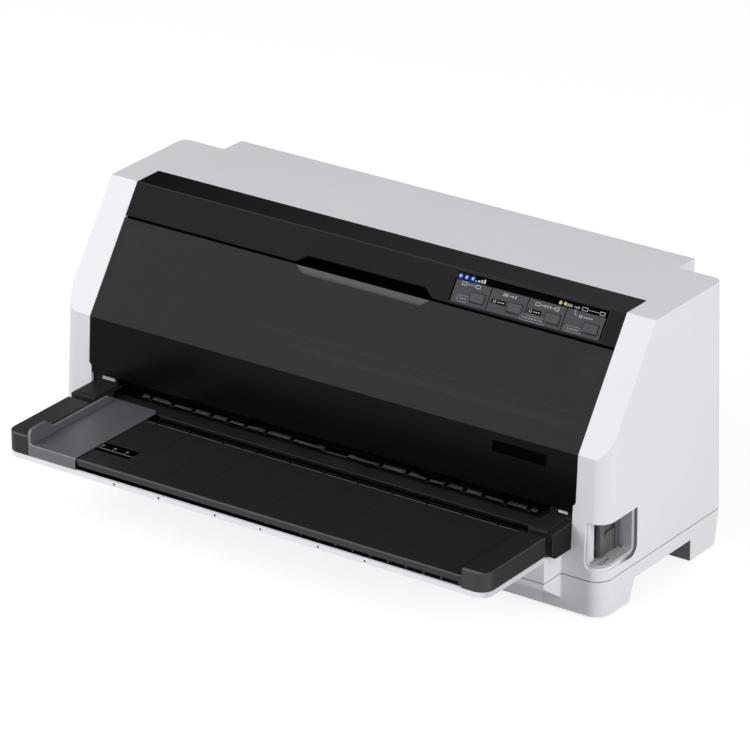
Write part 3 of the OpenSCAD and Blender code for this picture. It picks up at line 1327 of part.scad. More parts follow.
module rubber_feet() in_place() color(rubber) both_sides() {
    for (y = [front_runner_d / 2, (rear_runner_at + case_d - low_rear_draft - low_chamfer) / 2])
        rod_z(foot_r, half_w - 34, y, -foot_h, 0);
}

lower_case();
upper_case();
top_panel();
printer_cover();
key_panel();
blue_lamps();
amber_lamps();
tear_off_key();
line_feed_key();
load_key();
pause_key();
panel_board();
table_shell();
table_deck();
edge_guide();
entry_guide();
lever_pocket();
release_lever();
base_plate();
side_frames();
front_rail();
paper_deck();
front_feed_roller();
front_pinch_rollers();
platen();
rear_feed_roller();
rear_pinch_rollers();
front_roller_gear();
platen_gear();
rear_roller_gear();
tractor_gear();
front_idler_gear();
middle_idler_gear();
rear_idler_gear();
motor_pinion();
feed_motor();
carriage_shaft();
carriage();
print_head();
ribbon_cartridge();
ribbon_knob();
ribbon();
timing_belt();
drive_pulley();
idler_pulley();
carriage_motor();
tractor_drive_shaft();
tractor_guide_shaft();
left_tractor();
right_tractor();
left_tractor_lid();
right_tractor_lid();
left_pin_wheel();
right_pin_wheel();
main_board();
power_supply();
mains_inlet();
power_switch();
cable_sockets();
rubber_feet();
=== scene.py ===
import math

import bmesh
import bpy
from mathutils import Matrix, Vector


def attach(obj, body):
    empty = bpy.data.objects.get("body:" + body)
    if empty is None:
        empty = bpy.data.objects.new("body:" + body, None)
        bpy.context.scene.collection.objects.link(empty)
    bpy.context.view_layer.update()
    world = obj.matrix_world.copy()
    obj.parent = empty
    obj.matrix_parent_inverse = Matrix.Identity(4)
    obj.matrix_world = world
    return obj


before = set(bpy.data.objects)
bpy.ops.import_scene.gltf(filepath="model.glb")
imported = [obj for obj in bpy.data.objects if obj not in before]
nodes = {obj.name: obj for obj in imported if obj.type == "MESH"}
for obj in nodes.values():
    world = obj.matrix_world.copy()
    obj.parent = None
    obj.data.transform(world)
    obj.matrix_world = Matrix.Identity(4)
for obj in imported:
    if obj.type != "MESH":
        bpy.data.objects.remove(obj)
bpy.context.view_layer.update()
mm = 0.001

# a long lens, aimed a little left of the printer's middle; angles in degrees, lens and sensor in millimetres
cameraSettings = {
    "azimuth": 34.998,
    "elevation": 23.875,
    "lens": 261.17,
    "sensor": 36.0,
    "distance": 3.96638,
    "clipEnd": 50.0,
    "aim": (0.0, 0.08, 0.1),      # y from the case's front face, z from its underside
    "slideRight": -0.008238,
    "slideUp": -0.0013,
}

# the case's front face and its underside in this frame
caseFrame = {"frontY": -0.03765, "lowZ": 0.002}

# side view of the front, in millimetres from those two: a slope from the brow down to the lip,
# and the cover's face from the lip down to the foot
frontProfile = {"browY": 65.9, "browZ": 206.0, "lipY": 5.4, "lipZ": 118.7, "footZ": 27.2}
slopeAngle = math.atan2(frontProfile["browZ"] - frontProfile["lipZ"],
                        frontProfile["browY"] - frontProfile["lipY"])
coverLean = frontProfile["lipY"] / (frontProfile["lipZ"] - frontProfile["footZ"])


def casePoint(x, y, z):
    # millimetres in the case frame to metres here
    return Vector((x * mm, caseFrame["frontY"] + y * mm, caseFrame["lowZ"] + z * mm))


def slopePoint(x, down, out=0.0):
    # down runs from the slope's upper edge, out stands out of the slope
    y = frontProfile["browY"] - down * math.cos(slopeAngle) - out * math.sin(slopeAngle)
    z = frontProfile["browZ"] - down * math.sin(slopeAngle) + out * math.cos(slopeAngle)
    return casePoint(x, y, z)


def placeCamera(settings):
    azimuth = math.radians(settings["azimuth"])
    elevation = math.radians(settings["elevation"])
    right = Vector((math.cos(azimuth), math.sin(azimuth), 0))
    back = Vector((math.sin(azimuth) * math.cos(elevation),
                   -math.cos(azimuth) * math.cos(elevation),
                   math.sin(elevation)))
    up = back.cross(right)
    aimX, aimY, aimZ = settings["aim"]
    target = Vector((aimX, aimY + caseFrame["frontY"], aimZ + caseFrame["lowZ"]))
    target += right * settings["slideRight"] + up * settings["slideUp"]
    data = bpy.data.cameras.new("photoCamera")
    data.lens = settings["lens"]
    data.sensor_width = settings["sensor"]
    data.clip_end = settings["clipEnd"]
    camera = bpy.data.objects.new("photoCamera", data)
    bpy.context.scene.collection.objects.link(camera)
    turn = Matrix((right, up, back)).transposed().to_4x4()
    camera.matrix_world = Matrix.Translation(target + back * settings["distance"]) @ turn
    bpy.context.scene.camera = camera


placeCamera(cameraSettings)
print("camera placed")

# materials

def newMaterial(name):
    mat = bpy.data.materials.new(name)
    mat.use_nodes = True
    tree = mat.node_tree
    shader = next(n for n in tree.nodes if n.type == "BSDF_PRINCIPLED")
    return mat, tree, shader


def addNode(tree, kind, **values):
    node = tree.nodes.new(kind)
    for key, value in values.items():
        if hasattr(node, key):
            setattr(node, key, value)
        else:
            node.inputs[key].default_value = value
    return node


def objectSpace(tree, stretch=(1, 1, 1)):
    # coordinates in metres on the piece itself, stretched along its axes
    coords = addNode(tree, "ShaderNodeTexCoord")
    mapping = addNode(tree, "ShaderNodeMapping")
    mapping.inputs["Scale"].default_value = stretch
    tree.links.new(coords.outputs["Object"], mapping.inputs["Vector"])
    return mapping.outputs["Vector"]


def noiseOn(tree, vector, scale, detail=2.0, roughness=0.5):
    node = addNode(tree, "ShaderNodeTexNoise", Scale=scale, Detail=detail, Roughness=roughness)
    tree.links.new(vector, node.inputs["Vector"])
    return node.outputs["Fac"]


def colourRamp(tree, factor, stops):
    ramp = addNode(tree, "ShaderNodeValToRGB")
    ramp.color_ramp.elements[0].position = stops[0][0]
    ramp.color_ramp.elements[0].color = (*stops[0][1], 1)
    ramp.color_ramp.elements[1].position = stops[-1][0]
    ramp.color_ramp.elements[1].color = (*stops[-1][1], 1)
    for position, colour in stops[1:-1]:
        ramp.color_ramp.elements.new(position).color = (*colour, 1)
    tree.links.new(factor, ramp.inputs["Fac"])
    return ramp.outputs["Color"]


def spread(tree, factor, low, high, start=0.0, end=1.0, kind="LINEAR"):
    # what runs from start to end comes out from low to high
    node = addNode(tree, "ShaderNodeMapRange", interpolation_type=kind)
    for key, value in (("From Min", start), ("From Max", end), ("To Min", low), ("To Max", high)):
        node.inputs[key].default_value = value
    tree.links.new(factor, node.inputs["Value"])
    return node.outputs["Result"]


def calculate(tree, operation, *terms):
    # one math node on sockets or plain numbers
    node = addNode(tree, "ShaderNodeMath", operation=operation)
    for socket, term in zip(node.inputs, terms):
        if isinstance(term, bpy.types.NodeSocket):
            tree.links.new(term, socket)
        else:
            socket.default_value = term
    return node.outputs["Value"]


def bumpFrom(tree, height, strength, distance, under=None):
    node = addNode(tree, "ShaderNodeBump", Strength=strength, Distance=distance)
    tree.links.new(height, node.inputs["Height"])
    if under is not None:
        tree.links.new(under, node.inputs["Normal"])
    return node.outputs["Normal"]


def tinted(colour, factor):
    return tuple(min(1.0, part * factor) for part in colour)


def neutral(level):
    return (level, level, level)


def mottled(tree, factor, colour, tones, stops):
    # from a darker to a lighter tone of one colour
    return colourRamp(tree, factor, [(stop, tinted(colour, tone)) for stop, tone in zip(stops, tones)])


def shade(tree, shader, factor, colour, finish):
    mixed = mottled(tree, factor, colour, finish["tones"], finish["stops"])
    tree.links.new(mixed, shader.inputs["Base Color"])


def emboss(tree, shader, height, finish):
    tree.links.new(bumpFrom(tree, height, finish["relief"], finish["depth"]), shader.inputs["Normal"])


def roughen(tree, shader, factor, rough, smear):
    # roughness with its uneven part below and above
    low, high = smear
    tree.links.new(spread(tree, factor, rough + low, rough + high), shader.inputs["Roughness"])


# in these finishes a scale is a pattern's fineness, tones darken or lighten the colour at the stops of
# its noise, smear is added to the roughness, a relief is a strength and a depth is in metres
plasticFinish = {
    "cloudScale": 9.0, "stops": (0.3, 0.7), "grainScale": 1400.0, "pitScale": 1120.0, "depth": 0.00006,
    "smearScale": 22.0, "smear": (-0.05, 0.06),
}


def mouldedPlastic(name, colour, rough=0.45, grain=0.35, cloud=0.03, gloss=0.5):
    # fine moulded grain and a faint cloudiness
    finish = plasticFinish
    mat, tree, shader = newMaterial(name)
    space = objectSpace(tree)
    cloudy = noiseOn(tree, space, finish["cloudScale"], detail=3.0)
    mixed = mottled(tree, cloudy, colour, (1 - cloud, 1 + cloud), finish["stops"])
    tree.links.new(mixed, shader.inputs["Base Color"])
    pits = addNode(tree, "ShaderNodeTexVoronoi", Scale=finish["pitScale"])
    tree.links.new(space, pits.inputs["Vector"])
    fine = noiseOn(tree, space, finish["grainScale"], detail=1.5)
    relief = calculate(tree, "ADD", fine, pits.outputs["Distance"])
    tree.links.new(bumpFrom(tree, relief, grain, finish["depth"]), shader.inputs["Normal"])
    smears = noiseOn(tree, space, finish["smearScale"], detail=4.0)
    roughen(tree, shader, smears, rough, finish["smear"])
    shader.inputs["Specular IOR Level"].default_value = gloss
    return mat


smokeFinish = {
    "dustScale": 35.0, "tones": (0.92, 1.12), "stops": (0.35, 0.75), "smear": (-0.01, 0.02),
    "waveScale": 60.0, "relief": 0.04, "depth": 0.00005, "gloss": 0.085,
}


def smokedPlastic(name, colour, clear, rough):
    # clear dark plastic: mostly its own deep tone, part of what lies behind it
    finish = smokeFinish
    mat, tree, shader = newMaterial(name)
    space = objectSpace(tree)
    dust = noiseOn(tree, space, finish["dustScale"], detail=4.0)
    shade(tree, shader, dust, colour, finish)
    roughen(tree, shader, dust, rough, finish["smear"])
    emboss(tree, shader, noiseOn(tree, space, finish["waveScale"]), finish)
    shader.inputs["Alpha"].default_value = 1.0 - clear
    shader.inputs["Specular IOR Level"].default_value = finish["gloss"]
    return mat


metalFinish = {
    "lineScale": 60.0, "tones": (0.82, 1.1), "stops": (0.3, 0.7), "smear": (-0.08, 0.12),
    "relief": 0.15, "depth": 0.00005,
}


def sheetMetal(name, colour, along, rough):
    # rolled or ground metal with fine lines along one direction
    finish = metalFinish
    mat, tree, shader = newMaterial(name)
    lines = noiseOn(tree, objectSpace(tree, along), finish["lineScale"], detail=6.0, roughness=0.7)
    shade(tree, shader, lines, colour, finish)
    roughen(tree, shader, lines, rough, finish["smear"])
    emboss(tree, shader, lines, finish)
    shader.inputs["Metallic"].default_value = 1.0
    return mat


rubberFinish = {
    "bloomScale": 60.0, "tones": (0.8, 1.5), "stops": (0.35, 0.75), "rough": 0.8, "smear": (-0.1, 0.1),
    "grainScale": 1500.0, "relief": 0.4, "depth": 0.0001,
    "ringScale": 0.31831, "ringRelief": 0.8, "ringDepth": 0.0004,
}


def groundRubber(name, colour, rings=0.0, gloss=0.3):
    # matt rubber with a dusty bloom; rings is about the spacing of its ground rings along X
    finish = rubberFinish
    mat, tree, shader = newMaterial(name)
    space = objectSpace(tree)
    bloom = noiseOn(tree, space, finish["bloomScale"], detail=5.0)
    shade(tree, shader, bloom, colour, finish)
    roughen(tree, shader, bloom, finish["rough"], finish["smear"])
    normal = bumpFrom(tree, noiseOn(tree, space, finish["grainScale"]), finish["relief"], finish["depth"])
    if rings:
        wave = addNode(tree, "ShaderNodeTexWave", bands_direction="X", wave_profile="TRI")
        wave.inputs["Scale"].default_value = finish["ringScale"] / rings
        tree.links.new(space, wave.inputs["Vector"])
        normal = bumpFrom(tree, wave.outputs["Fac"], finish["ringRelief"], finish["ringDepth"], normal)
    tree.links.new(normal, shader.inputs["Normal"])
    shader.inputs["Specular IOR Level"].default_value = gloss
    return mat


boardFinish = {
    "trackScale": 160.0, "turn": (0, 90, 90),
    "Color1": (0.012, 0.075, 0.03), "Color2": (0.015, 0.09, 0.035), "Mortar": (0.05, 0.17, 0.06),
    "glossScale": 300.0, "rough": 0.3, "smear": (-0.05, 0.1), "relief": 0.2, "depth": 0.0001,
}


def circuitBoard(name):
    # green lacquer over copper tracks
    finish = boardFinish
    mat, tree, shader = newMaterial(name)
    space = objectSpace(tree)
    tracks = addNode(tree, "ShaderNodeTexBrick", Scale=finish["trackScale"])
    for key in ("Color1", "Color2", "Mortar"):
        tracks.inputs[key].default_value = (*finish[key], 1)
    turned = addNode(tree, "ShaderNodeMapping")
    turned.inputs["Rotation"].default_value = [math.radians(angle) for angle in finish["turn"]]
    tree.links.new(space, turned.inputs["Vector"])
    tree.links.new(turned.outputs["Vector"], tracks.inputs["Vector"])
    tree.links.new(tracks.outputs["Color"], shader.inputs["Base Color"])
    roughen(tree, shader, noiseOn(tree, space, finish["glossScale"]), finish["rough"], finish["smear"])
    emboss(tree, shader, tracks.outputs["Fac"], finish)
    return mat


clothFinish = {
    "weaveScale": 2500.0, "Color1": (0.006, 0.006, 0.01), "Color2": (0.016, 0.015, 0.022),
    "wearScale": 80.0, "rough": 0.6, "smear": (-0.15, 0.15), "relief": 0.3, "depth": 0.0001,
}


def inkedCloth(name):
    finish = clothFinish
    mat, tree, shader = newMaterial(name)
    space = objectSpace(tree)
    weave = addNode(tree, "ShaderNodeTexChecker", Scale=finish["weaveScale"])
    for key in ("Color1", "Color2"):
        weave.inputs[key].default_value = (*finish[key], 1)
    tree.links.new(space, weave.inputs["Vector"])
    tree.links.new(weave.outputs["Color"], shader.inputs["Base Color"])
    roughen(tree, shader, noiseOn(tree, space, finish["wearScale"]), finish["rough"], finish["smear"])
    emboss(tree, shader, weave.outputs["Fac"], finish)
    return mat


lensFinish = {
    "patchScale": 700.0, "tones": (0.8, 1.0), "stops": (0.3, 0.7),
    "glowTones": (1.0, 1.3), "glowStops": (0.2, 0.8), "rough": 0.2,
}


def lampLens(name, colour, glow, strength):
    # moulded lens, brighter in patches where the light source sits behind it
    finish = lensFinish
    mat, tree, shader = newMaterial(name)
    patch = noiseOn(tree, objectSpace(tree), finish["patchScale"])
    shade(tree, shader, patch, colour, finish)
    glowing = mottled(tree, patch, glow, finish["glowTones"], finish["glowStops"])
    tree.links.new(glowing, shader.inputs["Emission Color"])
    shader.inputs["Emission Strength"].default_value = strength
    shader.inputs["Roughness"].default_value = finish["rough"]
    return mat


inkFinish = {"filmScale": 900.0, "tones": (0.9, 1.05), "stops": (0.3, 0.7), "smear": (-0.06, 0.06)}


def printedInk(name, colour, rough=0.5, gloss=0.3):
    # screen print: a thin uneven film
    finish = inkFinish
    mat, tree, shader = newMaterial(name)
    film = noiseOn(tree, objectSpace(tree), finish["filmScale"], detail=3.0)
    shade(tree, shader, film, colour, finish)
    roughen(tree, shader, film, rough, finish["smear"])
    shader.inputs["Specular IOR Level"].default_value = gloss
    return mat


# from the rim of the glow, where its gradient is 0, to its middle
glowFinish = {
    "light": [(0.0, neutral(0.0)), (0.35, (0.0, 0.012, 0.09)), (0.7, (0.005, 0.14, 0.62))],
    "film": [(0.0, neutral(0.002)), (1.0, (0.002, 0.01, 0.04))],
    "strength": 1.0, "gloss": 0.05,
}


def lampGlow(name, radius):
    # soft blue light in the film round a lamp
    finish = glowFinish
    mat, tree, shader = newMaterial(name)
    ball = addNode(tree, "ShaderNodeTexGradient", gradient_type="SPHERICAL")
    tree.links.new(objectSpace(tree, neutral(1 / radius)), ball.inputs["Vector"])
    tree.links.new(colourRamp(tree, ball.outputs["Fac"], finish["light"]), shader.inputs["Emission Color"])
    tree.links.new(colourRamp(tree, ball.outputs["Fac"], finish["film"]), shader.inputs["Base Color"])
    shader.inputs["Emission Strength"].default_value = finish["strength"]
    shader.inputs["Specular IOR Level"].default_value = finish["gloss"]
    return mat


# linear colours
paleColour = (0.765, 0.772, 0.8)
blackColour = (0.0205, 0.0205, 0.0213)
deckColour = (0.0138, 0.0138, 0.0142)
greyColour = (0.094, 0.097, 0.106)
clipGrain = {"rough": 0.45, "grain": 0.2, "cloud": 0.02}
edgeGrain = {"rough": 0.4, "grain": 0.2, "gloss": 0.3}

materials = {
    "pale": mouldedPlastic("paleCasePlastic", paleColour, rough=0.42, grain=0.22, cloud=0.012),
    "paleTable": mouldedPlastic("paleTablePlastic", tinted(paleColour, 1.18), rough=0.42, grain=0.22,
                                cloud=0.012),
    "black": mouldedPlastic("blackCasePlastic", blackColour, grain=0.3, cloud=0.05, gloss=0.008),
    "deck": mouldedPlastic("deckPlastic", deckColour, rough=0.5, grain=0.3, cloud=0.06, gloss=0.3),
    "smoke": smokedPlastic("smokedCoverPlastic", (0.003, 0.003, 0.0032), clear=0.07, rough=0.2),
    "grey": mouldedPlastic("greyPlastic", greyColour, rough=0.4, grain=0.25, gloss=0.9),
    "keyGrey": mouldedPlastic("keyPlastic", (0.095, 0.095, 0.096), rough=0.5, grain=0.3, cloud=0.04,
                              gloss=0.03),
    "panelGrey": mouldedPlastic("keyPanelFilm", (0.076, 0.079, 0.085), rough=0.5, grain=0.2, cloud=0.02,
                                gloss=0.02),
    "pocketGrey": mouldedPlastic("pocketPlastic", (0.46, 0.46, 0.485), rough=0.5, grain=0.25),
    "leverGrey": mouldedPlastic("leverPlastic", neutral(0.075), grain=0.3, cloud=0.05),
    "dark": mouldedPlastic("darkPlastic", (0.0165, 0.0165, 0.0172), rough=0.5, grain=0.3, cloud=0.08,
                           gloss=0.12),
    # near-black plastic for the paper deck and the front rail: painted shade under the cover
    "innerShade": mouldedPlastic("innerShadePlastic", (0.004, 0.004, 0.0042), rough=0.6, grain=0.3, cloud=0.1,
                                gloss=0.1),
    # one white plastic for both end clips: painted shade on the left clip, painted light on the right one
    "clipShadedWhite": mouldedPlastic("clipShadedPlastic", (0.62, 0.62, 0.6), **clipGrain),
    "clipLitWhite": mouldedPlastic("clipLitPlastic", (0.9, 0.9, 0.87), **clipGrain),
    "clipGrey": mouldedPlastic("clipGreyPlastic", (0.12, 0.12, 0.125), **clipGrain),
    "nylon": mouldedPlastic("naturalNylon", (0.6, 0.585, 0.5), rough=0.5, grain=0.2, cloud=0.05),
    "zinc": sheetMetal("zincSheet", (0.42, 0.42, 0.41), along=(1, 1, 30), rough=0.38),
    "shaft": sheetMetal("groundShaft", (0.55, 0.55, 0.56), along=(4, 60, 60), rough=0.22),
    "motor": sheetMetal("motorShell", (0.09, 0.09, 0.095), along=(30, 1, 1), rough=0.45),
    "headMetal": sheetMetal("headCasting", (0.16, 0.16, 0.165), along=(1, 1, 1), rough=0.55),
    "roller": groundRubber("rollerRubber", (0.05, 0.05, 0.052), rings=0.0035),
    # lighter than the rear roller's rubber: painted light, kept only on the band along the rollers' tops
    "feedRoller": groundRubber("feedRollerRubber", (0.095, 0.095, 0.097), rings=0.0035),
    "platenRubber": groundRubber("platenRubber", (0.012, 0.012, 0.0125)),
    # near black: the rubber's own black made darker still with painted shade under the cover
    "pinchRubber": groundRubber("pinchRubber", neutral(0.002), gloss=0.03),
    "footRubber": groundRubber("footRubber", neutral(0.022)),
    "board": circuitBoard("circuitBoard"),
    "ribbon": inkedCloth("inkedCloth"),
    "blueLamp": lampLens("blueLens", (0.004, 0.05, 0.2), (0.008, 0.13, 0.44), 0.6),
    "blueCore": lampLens("blueCore", (0.05, 0.2, 0.4), (0.2, 0.58, 1.0), 0.62),
    "amberLamp": lampLens("amberLens", (0.3, 0.26, 0.02), (0.5, 0.42, 0.03), 0.16),
    # lighter materials for rounded edges and edge lines: painted highlights
    "deckEdgeHighlight": mouldedPlastic("deckEdgeHighlightPlastic", neutral(0.15), **edgeGrain),
    "noseEdgeHighlight": mouldedPlastic("noseEdgeHighlightPlastic", neutral(0.12), **edgeGrain),
    "darkEdgeHighlight": mouldedPlastic("darkEdgeHighlightPlastic", neutral(0.085), **edgeGrain),
    "greyEdgeHighlight": mouldedPlastic("greyEdgeHighlightPlastic", tinted(greyColour, 1.12), rough=0.4, grain=0.25, gloss=0.9),
    "whiteInk": printedInk("whiteInk", (0.5, 0.51, 0.53)),
    "greyInk": printedInk("greyInk", (0.26, 0.265, 0.28)),
    "keyInk": printedInk("keyInk", (0.035, 0.036, 0.038)),
    "blackInkAndShade": printedInk("blackInkAndShade", neutral(0.002), rough=0.6, gloss=0.0),
}
print("materials mixed")

# where one moulding changes its finish or carries painted light and shade, in metres: x, y and z of this
# frame, halfWidth from the middle plane, down the sloping front and out of it; of two zones of a material the
# later one lies on top
finishAndPaintedLightZones = {
    "pale": {
        # painted shadow of the table and its end block on the lower front, fading out to the right and
        # upwards
        "lowFrontShadow": {"x": (0.19, 0.25), "y": (-0.0379, -0.0310), "z": (0.0, 0.066),
                     "fades": [("x", 0.2345, 0.2255), ("z", 0.066, 0.052)],
                     "colour": (0.68, 0.686, 0.712), "gloss": 0.5},
        # painted shade in the seam between the lower and upper case
        "seam": {"z": (0.02885, 0.02955), "colour": (0.2, 0.202, 0.21), "gloss": 0.2},
        # painted shade on the lever pocket's bevelled rim, in a band round the notch's lower rear corner
        "pocketRimShade": {"x": (0.232, 0.25), "z": (0.03, 0.0727), "fades": [("y", -0.017, -0.001)],
                      "ring": {"y": -0.00125, "z": 0.045, "inner": 0.0064, "outer": 0.009},
                      "colour": (0.17, 0.172, 0.18), "gloss": 0.2},
        # painted shade on the face inside the arch low at the back
        "archFaceShade": {"x": (0.2, 0.25), "y": (0.07905, 0.07965), "z": (0.0, 0.0195),
                     "colour": (0.15, 0.151, 0.155), "gloss": 0.1},
    },
    "paleTable": {
        # painted shade on the table shell's right side, growing outwards
        "tableSideShade": {"x": (0.2, 0.25), "fades": [("x", 0.2035, 0.2095)],
                      "colour": (0.6, 0.605, 0.625), "gloss": 0.5},
    },
    "black": {
        # painted shade in the recess under the key panel's lower edge
        "underPanelShade": {"down": (0.02, 0.06), "out": (-0.05, -0.0027),
                       "colour": neutral(0.0015), "gloss": 0.0},
        # painted highlight along the brow at the top of the slope
        "brow": {"halfWidth": (-1, 0.213), "down": (-0.0009, 0.0009), "out": (-0.001, 0.001),
                 "colour": neutral(0.034), "gloss": 0.02},
        # painted light and shade on the panel's top: darker at the left end, lighter at the right
        "panelTopShading": {"y": (0.0288, 0.1), "z": (0.2, 0.3), "colour": neutral(0.006),
                     "colourRight": (0.036, 0.036, 0.0365), "fadeHalf": 0.22, "gloss": 0.005},
    },
    "smoke": {
        "coverBands": {"halfWidth": (0.193, 0.2075), "down": (0.036, 0.066), "out": (-0.001, 0.002),
                       "colour": (0.0065, 0.0065, 0.0067), "gloss": 0.085},
        # painted reflection on the finger scoop
        "scoop": {"halfWidth": (-1, 0.0585), "down": (0.0286, 0.0349), "out": (-0.004, -0.00005),
                  "colour": (0.075, 0.075, 0.076), "gloss": 0.12},
        "scoopEnds": {"halfWidth": (0.0585, 0.0665), "down": (0.0286, 0.0349), "out": (-0.004, -0.00005),
                      "colour": neutral(0.003), "gloss": 0.02},
    },
    "deck": {
        # painted light on the left rim
        "leftRimLit": {"x": (-0.3, -0.1903), "colour": neutral(0.027), "gloss": 0.22},
        # painted light in the deck's grooves, against the shade that falls in them
        "grooves": {"halfWidth": (-1, 0.1902), "y": (-0.135, -0.0559), "z": (0.0618, 0.06242),
                    "colour": neutral(0.02), "gloss": 0.3},
        # painted highlight on the deck's rounded front
        "nose": {"halfWidth": (-1, 0.1902), "y": (-0.2, -0.1368), "colour": neutral(0.03), "gloss": 0.3},
        "rightSide": {"x": (0.2099, 0.25), "z": (0.0, 0.0690), "colour": deckColour, "gloss": 0.13},
        # painted highlight on the right rim's rounded front corner
        "rightNoseHighlight": {"x": (0.1903, 0.3), "z": (0.0, 0.0692), "fades": [("y", -0.1275, -0.1365)],
                      "colour": neutral(0.042), "gloss": 0.3},
        # painted highlight along the right rim's top edge
        "rimEdgeHighlight": {"x": (0.2096, 0.25), "z": (0.0688, 0.08), "colour": neutral(0.055), "gloss": 0.3},
        # painted highlight along the rims' front top edges
        "rimFrontHighlight": {"halfWidth": (0.1903, 0.25), "y": (-0.2, -0.1372), "z": (0.0688, 0.08),
                     "colour": (0.12, 0.12, 0.121), "gloss": 0.3},
    },
    "dark": {
        # painted shade on the low parts behind the deck, such as the entry guide's front face
        "behindDeckShade": {"halfWidth": (-1, 0.1914), "z": (0.0, 0.0607), "colour": neutral(0.002), "gloss": 0.0},
        # painted shade on the outer sides of the end blocks
        "blockSidesShade": {"halfWidth": (0.2106, 0.3), "z": (0.0, 0.0676), "colour": (0.007, 0.007, 0.0075),
                       "gloss": 0.12},
    },
    "greyEdgeHighlight": {
        # painted highlights on the fence's top edges and, lighter still, the guide's front top edge
        "fenceTopHighlight": {"z": (0.0672, 0.1), "colour": (0.17, 0.173, 0.182), "gloss": 0.5},
        "guideFrontHighlight": {"y": (-0.2, -0.1378), "z": (0.0622, 0.1), "colour": (0.3, 0.305, 0.32), "gloss": 0.5},
    },
    "feedRoller": {
        # painted shade on the feed rollers, all but the band along their tops
        "rollerFrontShade": {"y": (-0.1, -0.0229), "colour": neutral(0.003), "gloss": 0.0},
        "rollerBackShade": {"y": (-0.0188, 0.1), "colour": neutral(0.003), "gloss": 0.0},
    },
}


def within(tree, value, low, high):
    # 1 where the value lies between low and high, else 0
    above = calculate(tree, "GREATER_THAN", value, low)
    return calculate(tree, "MULTIPLY", above, calculate(tree, "LESS_THAN", value, high))


def zonePlaces(tree):
    # the distances that bound a zone
    space = objectSpace(tree)
    parts = addNode(tree, "ShaderNodeSeparateXYZ")
    tree.links.new(space, parts.inputs["Vector"])
    x, y, z = parts.outputs
    places = {"halfWidth": calculate(tree, "ABSOLUTE", x), "x": x, "y": y, "z": z}
    away = addNode(tree, "ShaderNodeVectorMath", operation="SUBTRACT")
    away.inputs[1].default_value = slopePoint(0, 0)
    tree.links.new(space, away.inputs[0])
    run, fall = math.cos(slopeAngle), math.sin(slopeAngle)
    for key, axis in (("down", (0, -run, -fall)), ("out", (0, -fall, run))):
        dot = addNode(tree, "ShaderNodeVectorMath", operation="DOT_PRODUCT")
        dot.inputs[1].default_value = axis
        tree.links.new(away.outputs["Vector"], dot.inputs[0])
        places[key] = dot.outputs["Value"]
    return places


def cornerRing(tree, places, ring):
    # band round a notch's lower rear corner: straight up behind it and forwards below it
    behind = calculate(tree, "MAXIMUM", calculate(tree, "SUBTRACT", places["y"], ring["y"]), 0.0)
    below = calculate(tree, "MAXIMUM", calculate(tree, "SUBTRACT", ring["z"], places["z"]), 0.0)
    squares = [calculate(tree, "MULTIPLY", side, side) for side in (behind, below)]
    distance = calculate(tree, "SQRT", calculate(tree, "ADD", *squares))
    return within(tree, distance, ring["inner"], ring["outer"])


def applyZone(mat, zone):
    tree = mat.node_tree
    shader = next(n for n in tree.nodes if n.type == "BSDF_PRINCIPLED")
    places = zonePlaces(tree)
    masks = [within(tree, place, *zone[key]) for key, place in places.items() if key in zone]
    for key, start, end in zone.get("fades", []):
        # grows from nothing at start to full at end
        masks.append(spread(tree, places[key], 0.0, 1.0, start, end, "SMOOTHSTEP"))
    if "ring" in zone:
        masks.append(cornerRing(tree, places, zone["ring"]))
    mask = masks[0]
    for other in masks[1:]:
        mask = calculate(tree, "MULTIPLY", mask, other)
    # the colour and the shine of the moulding where the mask is 1, mostly painted light or shade
    finish = addNode(tree, "ShaderNodeMix", data_type="RGBA")
    finish.inputs["B"].default_value = (*zone["colour"], 1)
    tree.links.new(mask, finish.inputs["Factor"])
    tree.links.new(shader.inputs["Base Color"].links[0].from_socket, finish.inputs["A"])
    tree.links.new(finish.outputs["Result"], shader.inputs["Base Color"])
    if "colourRight" in zone:
        # from one colour at the left end to another at the right end
        across = spread(tree, places["x"], 0.0, 1.0, -zone["fadeHalf"], zone["fadeHalf"])
        fade = colourRamp(tree, across, [(0.0, zone["colour"]), (1.0, zone["colourRight"])])
        tree.links.new(fade, finish.inputs["B"])
    shine = addNode(tree, "ShaderNodeMix")
    shine.inputs["B"].default_value = zone["gloss"]
    tree.links.new(mask, shine.inputs["Factor"])
    level = shader.inputs["Specular IOR Level"]
    if level.links:
        tree.links.new(level.links[0].from_socket, shine.inputs["A"])
    else:
        shine.inputs["A"].default_value = level.default_value
    tree.links.new(shine.outputs["Result"], level)


for key, zones in finishAndPaintedLightZones.items():
    for zone in zones.values():
        applyZone(materials[key], zone)
print("finishes set")

